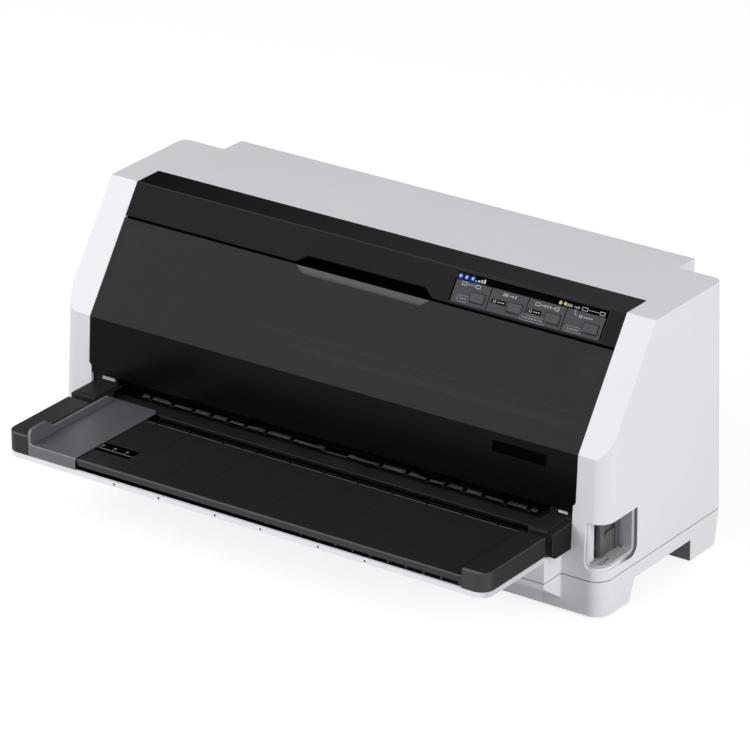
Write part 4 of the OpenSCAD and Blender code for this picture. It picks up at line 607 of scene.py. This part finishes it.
nodeMaterials = {
    "pale": ["lower_case", "upper_case"],
    "paleTable": ["table_shell"],
    "black": ["top_panel"],
    "deck": ["table_deck"],
    "smoke": ["printer_cover"],
    "panelGrey": ["key_panel"],
    "keyGrey": ["tear_off_key", "line_feed_key", "load_key", "pause_key", "ribbon_knob"],
    "blueLamp": ["blue_lamps"],
    "amberLamp": ["amber_lamps"],
    "board": ["panel_board", "main_board"],
    "grey": ["edge_guide"],
    "pocketGrey": ["lever_pocket"],
    "leverGrey": ["release_lever"],
    "innerShade": ["paper_deck", "front_rail"],
    "dark": ["entry_guide", "carriage", "ribbon_cartridge", "left_tractor", "right_tractor",
             "left_tractor_lid", "right_tractor_lid", "mains_inlet", "power_switch", "cable_sockets"],
    "zinc": ["base_plate", "side_frames", "power_supply"],
    "feedRoller": ["front_feed_roller"],
    "roller": ["rear_feed_roller"],
    "platenRubber": ["platen", "rear_pinch_rollers", "timing_belt"],
    "pinchRubber": ["front_pinch_rollers"],
    "nylon": ["front_roller_gear", "platen_gear", "rear_roller_gear", "tractor_gear", "front_idler_gear",
              "middle_idler_gear", "rear_idler_gear", "idler_pulley", "left_pin_wheel", "right_pin_wheel"],
    "shaft": ["motor_pinion", "carriage_shaft", "drive_pulley", "tractor_drive_shaft", "tractor_guide_shaft"],
    "motor": ["feed_motor", "carriage_motor"],
    "headMetal": ["print_head"],
    "ribbon": ["ribbon"],
    "footRubber": ["rubber_feet"],
}


def dressNode(name, material):
    node = nodes[name]
    node.data.materials.clear()
    node.data.materials.append(material)


for key, names in nodeMaterials.items():
    for name in names:
        dressNode(name, materials[key])
print("frame dressed")

# edges of the moulded pieces, in millimetres
edgeRounding = {
    "upper_case": 0.9, "lower_case": 0.8, "top_panel": 0.5, "printer_cover": 0.5, "table_shell": 1.2,
    "table_deck": 0.7, "edge_guide": 0.7, "entry_guide": 0.7, "lever_pocket": 0.4, "release_lever": 0.5,
    "tear_off_key": 0.3, "line_feed_key": 0.3, "load_key": 0.3, "pause_key": 0.3, "ribbon_cartridge": 0.8,
    "mains_inlet": 0.4, "power_switch": 0.4, "rubber_feet": 0.4, "ribbon_knob": 0.4,
}

# pieces whose rounded edges get a lighter material: painted highlights
edgeHighlights = {"edge_guide": "greyEdgeHighlight", "entry_guide": "darkEdgeHighlight"}

# how every edge is found and rounded: the weld in metres, angles in degrees
roundingRules = {"weld": 0.00001, "planeAngle": 0.3, "edgeAngle": 24, "segments": 2, "flatWeight": 100}


def roundEdges(name, width, rules):
    node = nodes[name]
    weld = node.modifiers.new("weld", "WELD")
    weld.merge_threshold = rules["weld"]
    # the facets of one plane become one face
    planes = node.modifiers.new("planes", "DECIMATE")
    planes.decimate_type = "DISSOLVE"
    planes.angle_limit = math.radians(rules["planeAngle"])
    bevel = node.modifiers.new("edgeRounding", "BEVEL")
    bevel.width = width * mm
    bevel.segments = rules["segments"]
    bevel.limit_method = "ANGLE"
    bevel.angle_limit = math.radians(rules["edgeAngle"])
    bevel.use_clamp_overlap = True
    # the bevel faces take the lighter edge material: painted highlight
    if name in edgeHighlights:
        node.data.materials.append(materials[edgeHighlights[name]])
        bevel.material = 1
    # broad faces keep their own direction, so that they look flat
    flat = node.modifiers.new("flatFaces", "WEIGHTED_NORMAL")
    flat.mode = "FACE_AREA"
    flat.weight = rules["flatWeight"]
    flat.keep_sharp = False


for name, width in edgeRounding.items():
    roundEdges(name, width, roundingRules)
print("edges rounded")

# small pieces

def linkPiece(name, mesh, body, material, place=None):
    mesh.materials.append(material)
    piece = bpy.data.objects.new(name, mesh)
    bpy.context.scene.collection.objects.link(piece)
    if place is not None:
        piece.matrix_world = place
    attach(piece, body)


def plateMesh(name, outlines, place, low, high):
    # flat plates with the given outlines; place turns (u, v, height) into a point
    build = bmesh.new()
    for outline in outlines:
        bottom = [build.verts.new(place(u, v, low)) for u, v in outline]
        top = [build.verts.new(place(u, v, high)) for u, v in outline]
        build.faces.new(top)
        build.faces.new(list(reversed(bottom)))
        count = len(outline)
        for i in range(count):
            j = (i + 1) % count
            build.faces.new((bottom[i], bottom[j], top[j], top[i]))
    bmesh.ops.recalc_face_normals(build, faces=build.faces)
    mesh = bpy.data.meshes.new(name)
    build.to_mesh(mesh)
    build.free()
    return mesh


def rectangle(u0, v0, u1, v1):
    return [(u0, v0), (u1, v0), (u1, v1), (u0, v1)]


def roundedOutline(u0, v0, u1, v1, radius, steps=6):
    points = []
    corners = [(u1 - radius, v1 - radius, 0), (u0 + radius, v1 - radius, 90),
               (u0 + radius, v0 + radius, 180), (u1 - radius, v0 + radius, 270)]
    for middleU, middleV, start in corners:
        for k in range(steps + 1):
            angle = math.radians(start + 90 * k / steps)
            points.append((middleU + radius * math.cos(angle), middleV + radius * math.sin(angle)))
    return points


def strokePlates(points, width, closed=False):
    # a drawn line as a chain of quads, each a little longer than its stretch so that the corners fill
    overlap = 0.35
    plates = []
    last = len(points) if closed else len(points) - 1
    for i in range(last):
        start = Vector(points[i])
        end = Vector(points[(i + 1) % len(points)])
        along = (end - start).normalized()
        side = Vector((-along.y, along.x)) * width / 2
        reach = along * width * overlap
        start -= reach
        end += reach
        plates.append([tuple(start + side), tuple(start - side), tuple(end - side), tuple(end + side)])
    return plates


def boxPiece(name, low, high, body, material):
    # plain block between two corners in the case frame, in millimetres
    mesh = plateMesh(name, [rectangle(*low[:2], *high[:2])], casePoint, low[2], high[2])
    linkPiece(name, mesh, body, material)


# print on the key panel in millimetres: u runs to the right, v down the slope, heights out of it
keyPanelPrint = {
    "left": 73.7, "right": 201.7, "stripTop": 2.0, "stripEnd": 7.7, "bottom": 24.6,
    "dividers": [104.8, 136.4, 168.3],
    "border": 0.6, "leftOverlap": 0.3, "leftBorder": 0.9, "rightBorder": 1.3,
    "keys": {"tear_off": (95.6, 2), "line_feed": (127.4, 1), "load": (159.2, 3), "pause": (191.4, 2)},
    "keyV": 18.2, "keyHalf": (5.95, 3.65), "keyTop": 1.5, "keySink": 0.02, "keyFilm": 0.05,
    "strokePitch": 1.8, "strokeWidth": 0.7, "strokeHalf": 1.3,
    "boxes": [(107.4, 15.2, 119.4, 18.4), (137.9, 15.2, 149.5, 18.4)],
    "boxBars": 1.4, "boxDashes": (4.6, 1.0),
    "capsules": [(79.2, 18.8, 89.0, 23.2), (133.4, 20.2, 154.2, 24.2), (170.7, 19.6, 184.5, 23.6)],
    "capsuleFlat": 0.05, "capsuleLine": 0.32, "capsuleInset": 1.8, "capsulePitch": 2.6, "capsuleDash": 0.9,
    "line": 0.4, "thin": 0.32, "thick": 0.64,
    "filmLow": 0.005, "film": 0.06, "markFilm": 0.09,
}

# plain pictures of what the keys do, row by row: tear a page off, feed lines, load a page, pause;
# the last two rows stand in the strip beside the lamps
captionRows = [
    {"v": 10.1, "pages": [(79.9, 3.6), (91.6, 3.6)], "dashes": [(84.0, 91.0, 5)]},
    {"v": 10.4, "bars": [(115.2, 3), (125.4, 1)], "arrows": [(120.2, 124.2)]},
    {"v": 10.8, "pages": [(142.6, 3.6), (159.0, 3.0)], "bars": [(152.6, 1)],
     "arrows": [(147.2, 151.4), (158.4, 154.4)]},
    {"v": 11.3, "bars": [(179.4, 2)], "thickDashes": [(182.6, 190.8, 4)]},
    {"v": 5.7, "bars": [(167.6, 3)], "arrows": [(173.0, 177.6)]},
    {"v": 5.6, "pages": [(179.9, 4.4), (194.8, 3.8)], "dashes": [(185.2, 194.0, 5)]},
]

# a row of rising bars in the strip, and the line that leads down from it to a key
signalBars = {"left": 89.6, "base": 6.7, "width": 1.5, "pitch": 2.3, "rise": 0.75, "count": 4}
leadLine = [(175.2, 6.2), (175.2, 10.6), (176.8, 11.4)]

# the marks in the captions; barWidth counts in line widths, and dashGap is a share of a step
markSizes = {"half": 1.1, "barPitch": 1.5, "barWidth": 1.6, "headLong": 1.0, "headHalf": 0.9, "dashGap": 0.15}


def pageMark(u, v, width, line):
    half = markSizes["half"]
    return strokePlates(rectangle(u, v - half, u + width, v + half), line, closed=True)


def dashMark(u0, u1, v, count, line):
    step = (u1 - u0) / count
    gap = markSizes["dashGap"]
    return [rectangle(u0 + step * (k + gap), v - line / 2, u0 + step * (k + 1 - gap), v + line / 2)
            for k in range(count)]


def arrowMark(u0, u1, v, line):
    head = math.copysign(markSizes["headLong"], u1 - u0)
    half = markSizes["headHalf"]
    return (strokePlates([(u0, v), (u1, v)], line)
            + strokePlates([(u1 - head, v - half), (u1, v), (u1 - head, v + half)], line))


def barMark(u, v, count, line):
    half = markSizes["half"]
    lefts = [u + markSizes["barPitch"] * k for k in range(count)]
    return [rectangle(left, v - half, left + line * markSizes["barWidth"], v + half) for left in lefts]


def captionMarks(line, thin, thick):
    marks = []
    for row in captionRows:
        v = row["v"]
        for u, width in row.get("pages", []):
            marks += pageMark(u, v, width, line)
        for key, width in (("dashes", line), ("thickDashes", thick)):
            for u0, u1, count in row.get(key, []):
                marks += dashMark(u0, u1, v, count, width)
        for u, count in row.get("bars", []):
            marks += barMark(u, v, count, line)
        for u0, u1 in row.get("arrows", []):
            marks += arrowMark(u0, u1, v, line)
    signal = signalBars
    for k in range(signal["count"]):
        left = signal["left"] + signal["pitch"] * k
        top = signal["base"] - signal["rise"] * (k + 1)
        marks.append(rectangle(left, top, left + signal["width"], signal["base"]))
    return marks + strokePlates(leadLine, thin)


def printPiece(name, plates, low, high, ink, body="case"):
    mesh = plateMesh(name, plates, slopePoint, low, high)
    linkPiece(name, mesh, body, materials[ink])


def printPanelStrip(panel):
    # the dark strip, the borders between the keys and the outlines round them
    dark = [rectangle(panel["left"], panel["stripTop"], panel["right"], panel["stripEnd"])]
    borders = [(x - panel["border"] / 2, x + panel["border"] / 2) for x in panel["dividers"]]
    borders.append((panel["left"] - panel["leftOverlap"], panel["left"] + panel["leftBorder"]))
    borders.append((panel["right"] - panel["rightBorder"], panel["right"]))
    dark += [rectangle(u0, panel["stripEnd"], u1, panel["bottom"]) for u0, u1 in borders]
    halfU, halfV = panel["keyHalf"]
    for x, count in panel["keys"].values():
        outline = rectangle(x - halfU, panel["keyV"] - halfV, x + halfU, panel["keyV"] + halfV)
        dark += strokePlates(outline, panel["border"], closed=True)
    dark += [rectangle(*corners) for corners in panel["boxes"]]
    printPiece("key_panel_strip", dark, panel["filmLow"], panel["film"], "blackInkAndShade")


def printPanelMarks(panel):
    white = captionMarks(panel["line"], panel["thin"], panel["thick"])
    for u0, v0, u1, v1 in panel["boxes"]:
        v = (v0 + v1) / 2
        fromLeft, fromRight = panel["boxDashes"]
        white += barMark(u0 + panel["boxBars"], v, 2, panel["thin"])
        white += dashMark(u0 + fromLeft, u1 - fromRight, v, 3, panel["thick"])
    printPiece("key_panel_marks", white, panel["filmLow"], panel["markFilm"], "whiteInk")


def printPanelCapsules(panel):
    # rounded outlines with a dashed line in them
    faint = []
    for u0, v0, u1, v1 in panel["capsules"]:
        outline = roundedOutline(u0, v0, u1, v1, (v1 - v0) / 2 - panel["capsuleFlat"])
        faint += strokePlates(outline, panel["capsuleLine"], closed=True)
        count = max(3, int((u1 - u0) / panel["capsulePitch"]))
        inset = panel["capsuleInset"]
        faint += dashMark(u0 + inset, u1 - inset, (v0 + v1) / 2, count, panel["capsuleDash"])
    printPiece("key_panel_capsules", faint, panel["filmLow"], panel["markFilm"], "greyInk")


def printKeys(panel):
    # one to three strokes on each key
    low = panel["keyTop"] - panel["keySink"]
    v0 = panel["keyV"] - panel["strokeHalf"]
    v1 = panel["keyV"] + panel["strokeHalf"]
    for body, (x, count) in panel["keys"].items():
        lefts = [x + panel["strokePitch"] * (k - count / 2) for k in range(count)]
        strokes = [rectangle(left, v0, left + panel["strokeWidth"], v1) for left in lefts]
        printPiece(body + "_mark", strokes, low, low + panel["keyFilm"], "keyInk", body)


printPanelStrip(keyPanelPrint)
printPanelMarks(keyPanelPrint)
printPanelCapsules(keyPanelPrint)
printKeys(keyPanelPrint)

# three blue lamps in the strip: the glow on the film and the bright core on the lens, in millimetres
blueLamps = {
    "count": 3, "first": 76.8, "pitch": 5.15, "v": 5.4,
    "glow": 2.9, "glowOut": 0.075, "core": 0.74, "coreOut": 0.62, "segments": 32,
}


def lightDisc(name, lamps, x, out, radius, material):
    # thin disc over a lamp, with its own middle so that the glow can follow it
    build = bmesh.new()
    bmesh.ops.create_circle(build, cap_ends=True, segments=lamps["segments"], radius=radius * mm)
    mesh = bpy.data.meshes.new(name)
    build.to_mesh(mesh)
    build.free()
    place = Matrix.Translation(slopePoint(x, lamps["v"], out)) @ Matrix.Rotation(slopeAngle, 4, "X")
    linkPiece(name, mesh, "case", material, place)


def lightBlueLamps(lamps):
    glow = lampGlow("blueGlow", lamps["glow"] * mm)
    for k in range(lamps["count"]):
        x = lamps["first"] + k * lamps["pitch"]
        lightDisc("blue_glow_%d" % k, lamps, x, lamps["glowOut"], lamps["glow"], glow)
        lightDisc("blue_core_%d" % k, lamps, x, lamps["coreOut"], lamps["core"], materials["blueCore"])


lightBlueLamps(blueLamps)
print("key panel printed")

# ruler printed on the deck beside the edge guide: u to the right, v back from the front face
rulerPrint = {
    "patch": (-150.0, -79.5, -115.2, -65.6), "patchFilm": (0.004, 0.04),
    "deckZ": 60.5, "base": -75.2, "from": -147.0, "to": -117.8, "markFilm": (0.01, 0.06),
    "ticks": [-145.2, -134.4, -123.6], "tickEnd": -70.4, "tickGap": 1.6, "line": 0.55,
    "figure": (-0.7, -0.6, 1.2, 0.9),
    "smallTicks": 4, "smallPitch": 2.1, "smallLong": 1.3, "smallLine": 0.385,
}


def makeRuler(ruler):
    def onDeck(u, v, height):
        return casePoint(u, v, ruler["deckZ"] + height)

    mesh = plateMesh("ruler_patch", [rectangle(*ruler["patch"])], onDeck, *ruler["patchFilm"])
    linkPiece("ruler_patch", mesh, "case", materials["blackInkAndShade"])
    base = ruler["base"]
    marks = strokePlates([(ruler["from"], base), (ruler["to"], base)], ruler["line"])
    for x in ruler["ticks"]:
        marks += strokePlates([(x, base), (x, ruler["tickEnd"] - ruler["tickGap"])], ruler["line"])
        u0, v0, u1, v1 = ruler["figure"]
        marks.append(rectangle(x + u0, ruler["tickEnd"] + v0, x + u1, ruler["tickEnd"] + v1))
        for k in range(1, ruler["smallTicks"] + 1):
            u = x + ruler["smallPitch"] * k
            marks += strokePlates([(u, base), (u, base + ruler["smallLong"])], ruler["smallLine"])
    mesh = plateMesh("ruler_marks", marks, onDeck, *ruler["markFilm"])
    linkPiece("ruler_marks", mesh, "case", materials["greyInk"])


makeRuler(rulerPrint)

# clips that show under the lower corners of the cover: two corners in the case frame
clips = {
    # the left clip is painted darker and the right one lighter: painted shade and light
    "left_clip": ((-204.2, 5.75, 70.9), (-193.0, 6.25, 73.4), "clipShadedWhite", "pale_case"),
    "right_clip": ((199.0, 5.75, 70.9), (206.6, 6.25, 72.8), "clipLitWhite", "pale_case"),
    "small_clip": ((205.4, 5.75, 66.7), (209.6, 6.25, 68.0), "clipGrey", "grey_plastic"),
}
for name, (low, high, key, slotName) in clips.items():
    boxPiece(name, low, high, "case", materials[key])

# black plates in the bottoms of the clip holes in the table's front edge: painted shade in the holes
clipHoles = {
    "xs": [-111.3, -71.3, -21.3, 18.7, 68.7, 108.7], "z": 50.35, "y": -102.3, "radius": 0.95,
    "roundShare": 0.99, "steps": 5, "depth": 0.25, "thick": 0.2,
}


def makeClipHoles(holes):
    def onFace(u, v, height):
        return casePoint(u, holes["y"] + holes["depth"] + height, v)

    reach = holes["radius"]
    corner = reach * holes["roundShare"]
    z = holes["z"]
    outlines = [roundedOutline(x - reach, z - reach, x + reach, z + reach, corner, holes["steps"])
                for x in holes["xs"]]
    mesh = plateMesh("clip_holes", outlines, onFace, 0.0, holes["thick"])
    linkPiece("clip_holes", mesh, "case", materials["blackInkAndShade"])


makeClipHoles(clipHoles)

# marks on the pocket's floor: a short bar and a plain outline, along the depth
pocketMarks = {
    "floorZ": 38.90, "bar": (232.4, 14.6, 233.5, 19.4), "outline": (231.9, 7.6, 234.3, 12.8), "line": 0.5,
    "film": (-0.02, 0.05),
}


def makePocketMarks(marks):
    def onFloor(u, v, height):
        return casePoint(u, v, marks["floorZ"] + height)

    outlines = strokePlates(rectangle(*marks["outline"]), marks["line"], closed=True)
    outlines.append(rectangle(*marks["bar"]))
    mesh = plateMesh("pocket_marks", outlines, onFloor, *marks["film"])
    linkPiece("pocket_marks", mesh, "case", materials["keyInk"])


makePocketMarks(pocketMarks)

# painted highlight lines on the deck's rear edge and its rounded nose, and the web over the slots in its
# front
deckTrim = {
    "top": 60.5, "half": 189.6, "from": -146.2,
    "rearY": -17.8, "rearLine": 0.75, "rearGap": 0.02, "film": (-0.02, 0.03),
    "grooveFrom": -136.0, "groovePitch": 30.0, "grooveHalf": 0.9, "lastGroove": 180.6,
    "noseY": -100.58, "noseLong": 0.95, "noseHigh": 0.62, "noseLean": 0.7, "noseFilm": 0.12,
    "webInset": 0.5, "webLow": 55.6, "webHigh": 57.7, "webBack": -99.2, "webFront": -100.62,
}


def makeRearHighlight(trim):
    # broken where the deck's grooves run out
    ends = [trim["from"]]
    x = trim["grooveFrom"]
    while x < trim["lastGroove"]:
        ends.append(x)
        x += trim["groovePitch"]
    ends.append(trim["half"])
    front = trim["rearY"] - trim["rearLine"]
    rear = trim["rearY"] - trim["rearGap"]
    half = trim["grooveHalf"]
    lines = [rectangle(a + half, front, b - half, rear) for a, b in zip(ends, ends[1:])]
    low, high = trim["film"]
    mesh = plateMesh("deck_rear_highlight", lines, casePoint, trim["top"] + low, trim["top"] + high)
    linkPiece("deck_rear_highlight", mesh, "case", materials["deckEdgeHighlight"])


def makeNoseHighlight(trim):
    def onNose(u, v, height):
        # v runs from 0 at the front of the rounded nose to 1 at its top
        lift = trim["noseLean"] * height
        y = trim["noseY"] + trim["noseLong"] * v - lift
        z = trim["top"] + trim["noseHigh"] * (v - 1) + lift
        return casePoint(u, y, z)

    line = rectangle(trim["from"], 0.0, trim["half"], 1.0)
    mesh = plateMesh("deck_nose_highlight", [line], onNose, 0.0, trim["noseFilm"])
    linkPiece("deck_nose_highlight", mesh, "case", materials["noseEdgeHighlight"])


def makeNoseWeb(trim):
    low = (trim["from"] + trim["webInset"], trim["webFront"], trim["webLow"])
    high = (trim["half"], trim["webBack"], trim["webHigh"])
    boxPiece("deck_nose_web", low, high, "case", materials["deck"])


makeRearHighlight(deckTrim)
makeNoseHighlight(deckTrim)
makeNoseWeb(deckTrim)

# dark strip that shows through the lower part of the cover
coverStrip = {"left": 143.6, "right": 188.9, "low": 104.0, "high": 112.5, "film": (-0.02, 0.03)}


def makeCoverStrip(spot):
    def onFace(u, v, height):
        # the cover's face leans back from its foot upwards
        return casePoint(u, (v - frontProfile["footZ"]) * coverLean - height, v)

    strip = rectangle(spot["left"], spot["low"], spot["right"], spot["high"])
    mesh = plateMesh("cover_strip", [strip], onFace, *spot["film"])
    linkPiece("cover_strip", mesh, "cover", materials["blackInkAndShade"])


makeCoverStrip(coverStrip)
print("small pieces placed")

# the world and the lights
worldSettings = {
    "level": 0.33,         # what the pale room gives from all sides
    "tone": (0.97, 0.98, 1.0),
    "white": 1.0,          # the white backdrop as the camera sees it
    "ceiling": 0.12,       # the dim ceiling above the backdrop, in reflections
    "backdropTop": (0.08, 0.3),
}
lampAim = Vector((0, 0, 0.1))
lampSettings = [
    {"name": "keySoftbox", "toward": (-0.524, -0.64, 0.558), "away": 2.5, "size": 1.5, "power": 36.0},
    {"name": "sideSoftbox", "toward": (0.93, -0.18, 0.32), "away": 2.6, "size": 1.8, "power": 36.5},
    {"name": "topSoftbox", "toward": (0.5, -0.1, 0.86), "away": 2.5, "size": 1.6, "power": 6.8},
]


def seenStraight(tree):
    # 1 for what is seen by the camera itself, in a reflection or through clear plastic
    path = addNode(tree, "ShaderNodeLightPath")
    rays = ("Camera", "Glossy", "Transmission")
    camera, glossy, clear = [path.outputs["Is %s Ray" % ray] for ray in rays]
    return calculate(tree, "MAXIMUM", calculate(tree, "MAXIMUM", camera, glossy), clear)


def lightWorld(settings):
    world = bpy.data.worlds.new("studio")
    world.use_nodes = True
    bpy.context.scene.world = world
    tree = world.node_tree
    tree.nodes.clear()
    soft = addNode(tree, "ShaderNodeBackground")
    soft.inputs["Color"].default_value = (*settings["tone"], 1)
    soft.inputs["Strength"].default_value = settings["level"]
    # the backdrop is white up to a little above the horizon
    coords = addNode(tree, "ShaderNodeTexCoord")
    parts = addNode(tree, "ShaderNodeSeparateXYZ")
    tree.links.new(coords.outputs["Generated"], parts.inputs["Vector"])
    backdrop = spread(tree, parts.outputs["Z"], settings["white"], settings["ceiling"],
                      *settings["backdropTop"], "SMOOTHSTEP")
    plain = addNode(tree, "ShaderNodeBackground")
    plain.inputs["Color"].default_value = (1, 1, 1, 1)
    tree.links.new(backdrop, plain.inputs["Strength"])
    mix = addNode(tree, "ShaderNodeMixShader")
    out = addNode(tree, "ShaderNodeOutputWorld")
    tree.links.new(seenStraight(tree), mix.inputs["Fac"])
    tree.links.new(soft.outputs["Background"], mix.inputs[1])
    tree.links.new(plain.outputs["Background"], mix.inputs[2])
    tree.links.new(mix.outputs["Shader"], out.inputs["Surface"])


def hangLamp(settings):
    data = bpy.data.lights.new(settings["name"], "AREA")
    data.shape = "SQUARE"
    data.size = settings["size"]
    data.energy = settings["power"]
    lamp = bpy.data.objects.new(settings["name"], data)
    bpy.context.scene.collection.objects.link(lamp)
    toward = Vector(settings["toward"]).normalized()
    lamp.location = lampAim + toward * settings["away"]
    lamp.rotation_euler = (-toward).to_track_quat("-Z", "Y").to_euler()


floorSettings = {
    "half": 6.0, "cells": 4,
    # the paper that lights the printer from below
    "speckleScale": 40.0, "paper": [(0.3, (0.54, 0.54, 0.55)), (0.7, (0.56, 0.56, 0.57))],
    # what is seen of it: nearly white, and still holding the printer's shadow
    "shade": 0.3, "glow": 0.8,
}


def layFloor(settings):
    build = bmesh.new()
    cells = settings["cells"]
    bmesh.ops.create_grid(build, x_segments=cells, y_segments=cells, size=settings["half"])
    mesh = bpy.data.meshes.new("floor")
    build.to_mesh(mesh)
    build.free()
    mat, tree, shader = newMaterial("studioFloor")
    tree.nodes.remove(shader)
    out = next(n for n in tree.nodes if n.type == "OUTPUT_MATERIAL")
    paper = addNode(tree, "ShaderNodeBsdfDiffuse")
    speckle = noiseOn(tree, objectSpace(tree), settings["speckleScale"])
    tree.links.new(colourRamp(tree, speckle, settings["paper"]), paper.inputs["Color"])
    shade = addNode(tree, "ShaderNodeBsdfDiffuse")
    shade.inputs["Color"].default_value = (*neutral(settings["shade"]), 1)
    glow = addNode(tree, "ShaderNodeEmission")
    glow.inputs["Strength"].default_value = settings["glow"]
    seen = addNode(tree, "ShaderNodeAddShader")
    tree.links.new(shade.outputs["BSDF"], seen.inputs[0])
    tree.links.new(glow.outputs["Emission"], seen.inputs[1])
    mix = addNode(tree, "ShaderNodeMixShader")
    tree.links.new(seenStraight(tree), mix.inputs["Fac"])
    tree.links.new(paper.outputs["BSDF"], mix.inputs[1])
    tree.links.new(seen.outputs["Shader"], mix.inputs[2])
    tree.links.new(mix.outputs["Shader"], out.inputs["Surface"])
    mesh.materials.append(mat)
    floor = bpy.data.objects.new("floor", mesh)
    bpy.context.scene.collection.objects.link(floor)


lightWorld(worldSettings)
for settings in lampSettings:
    hangLamp(settings)
layFloor(floorSettings)
bpy.context.scene.view_settings.view_transform = "Standard"
print("lights and floor set")
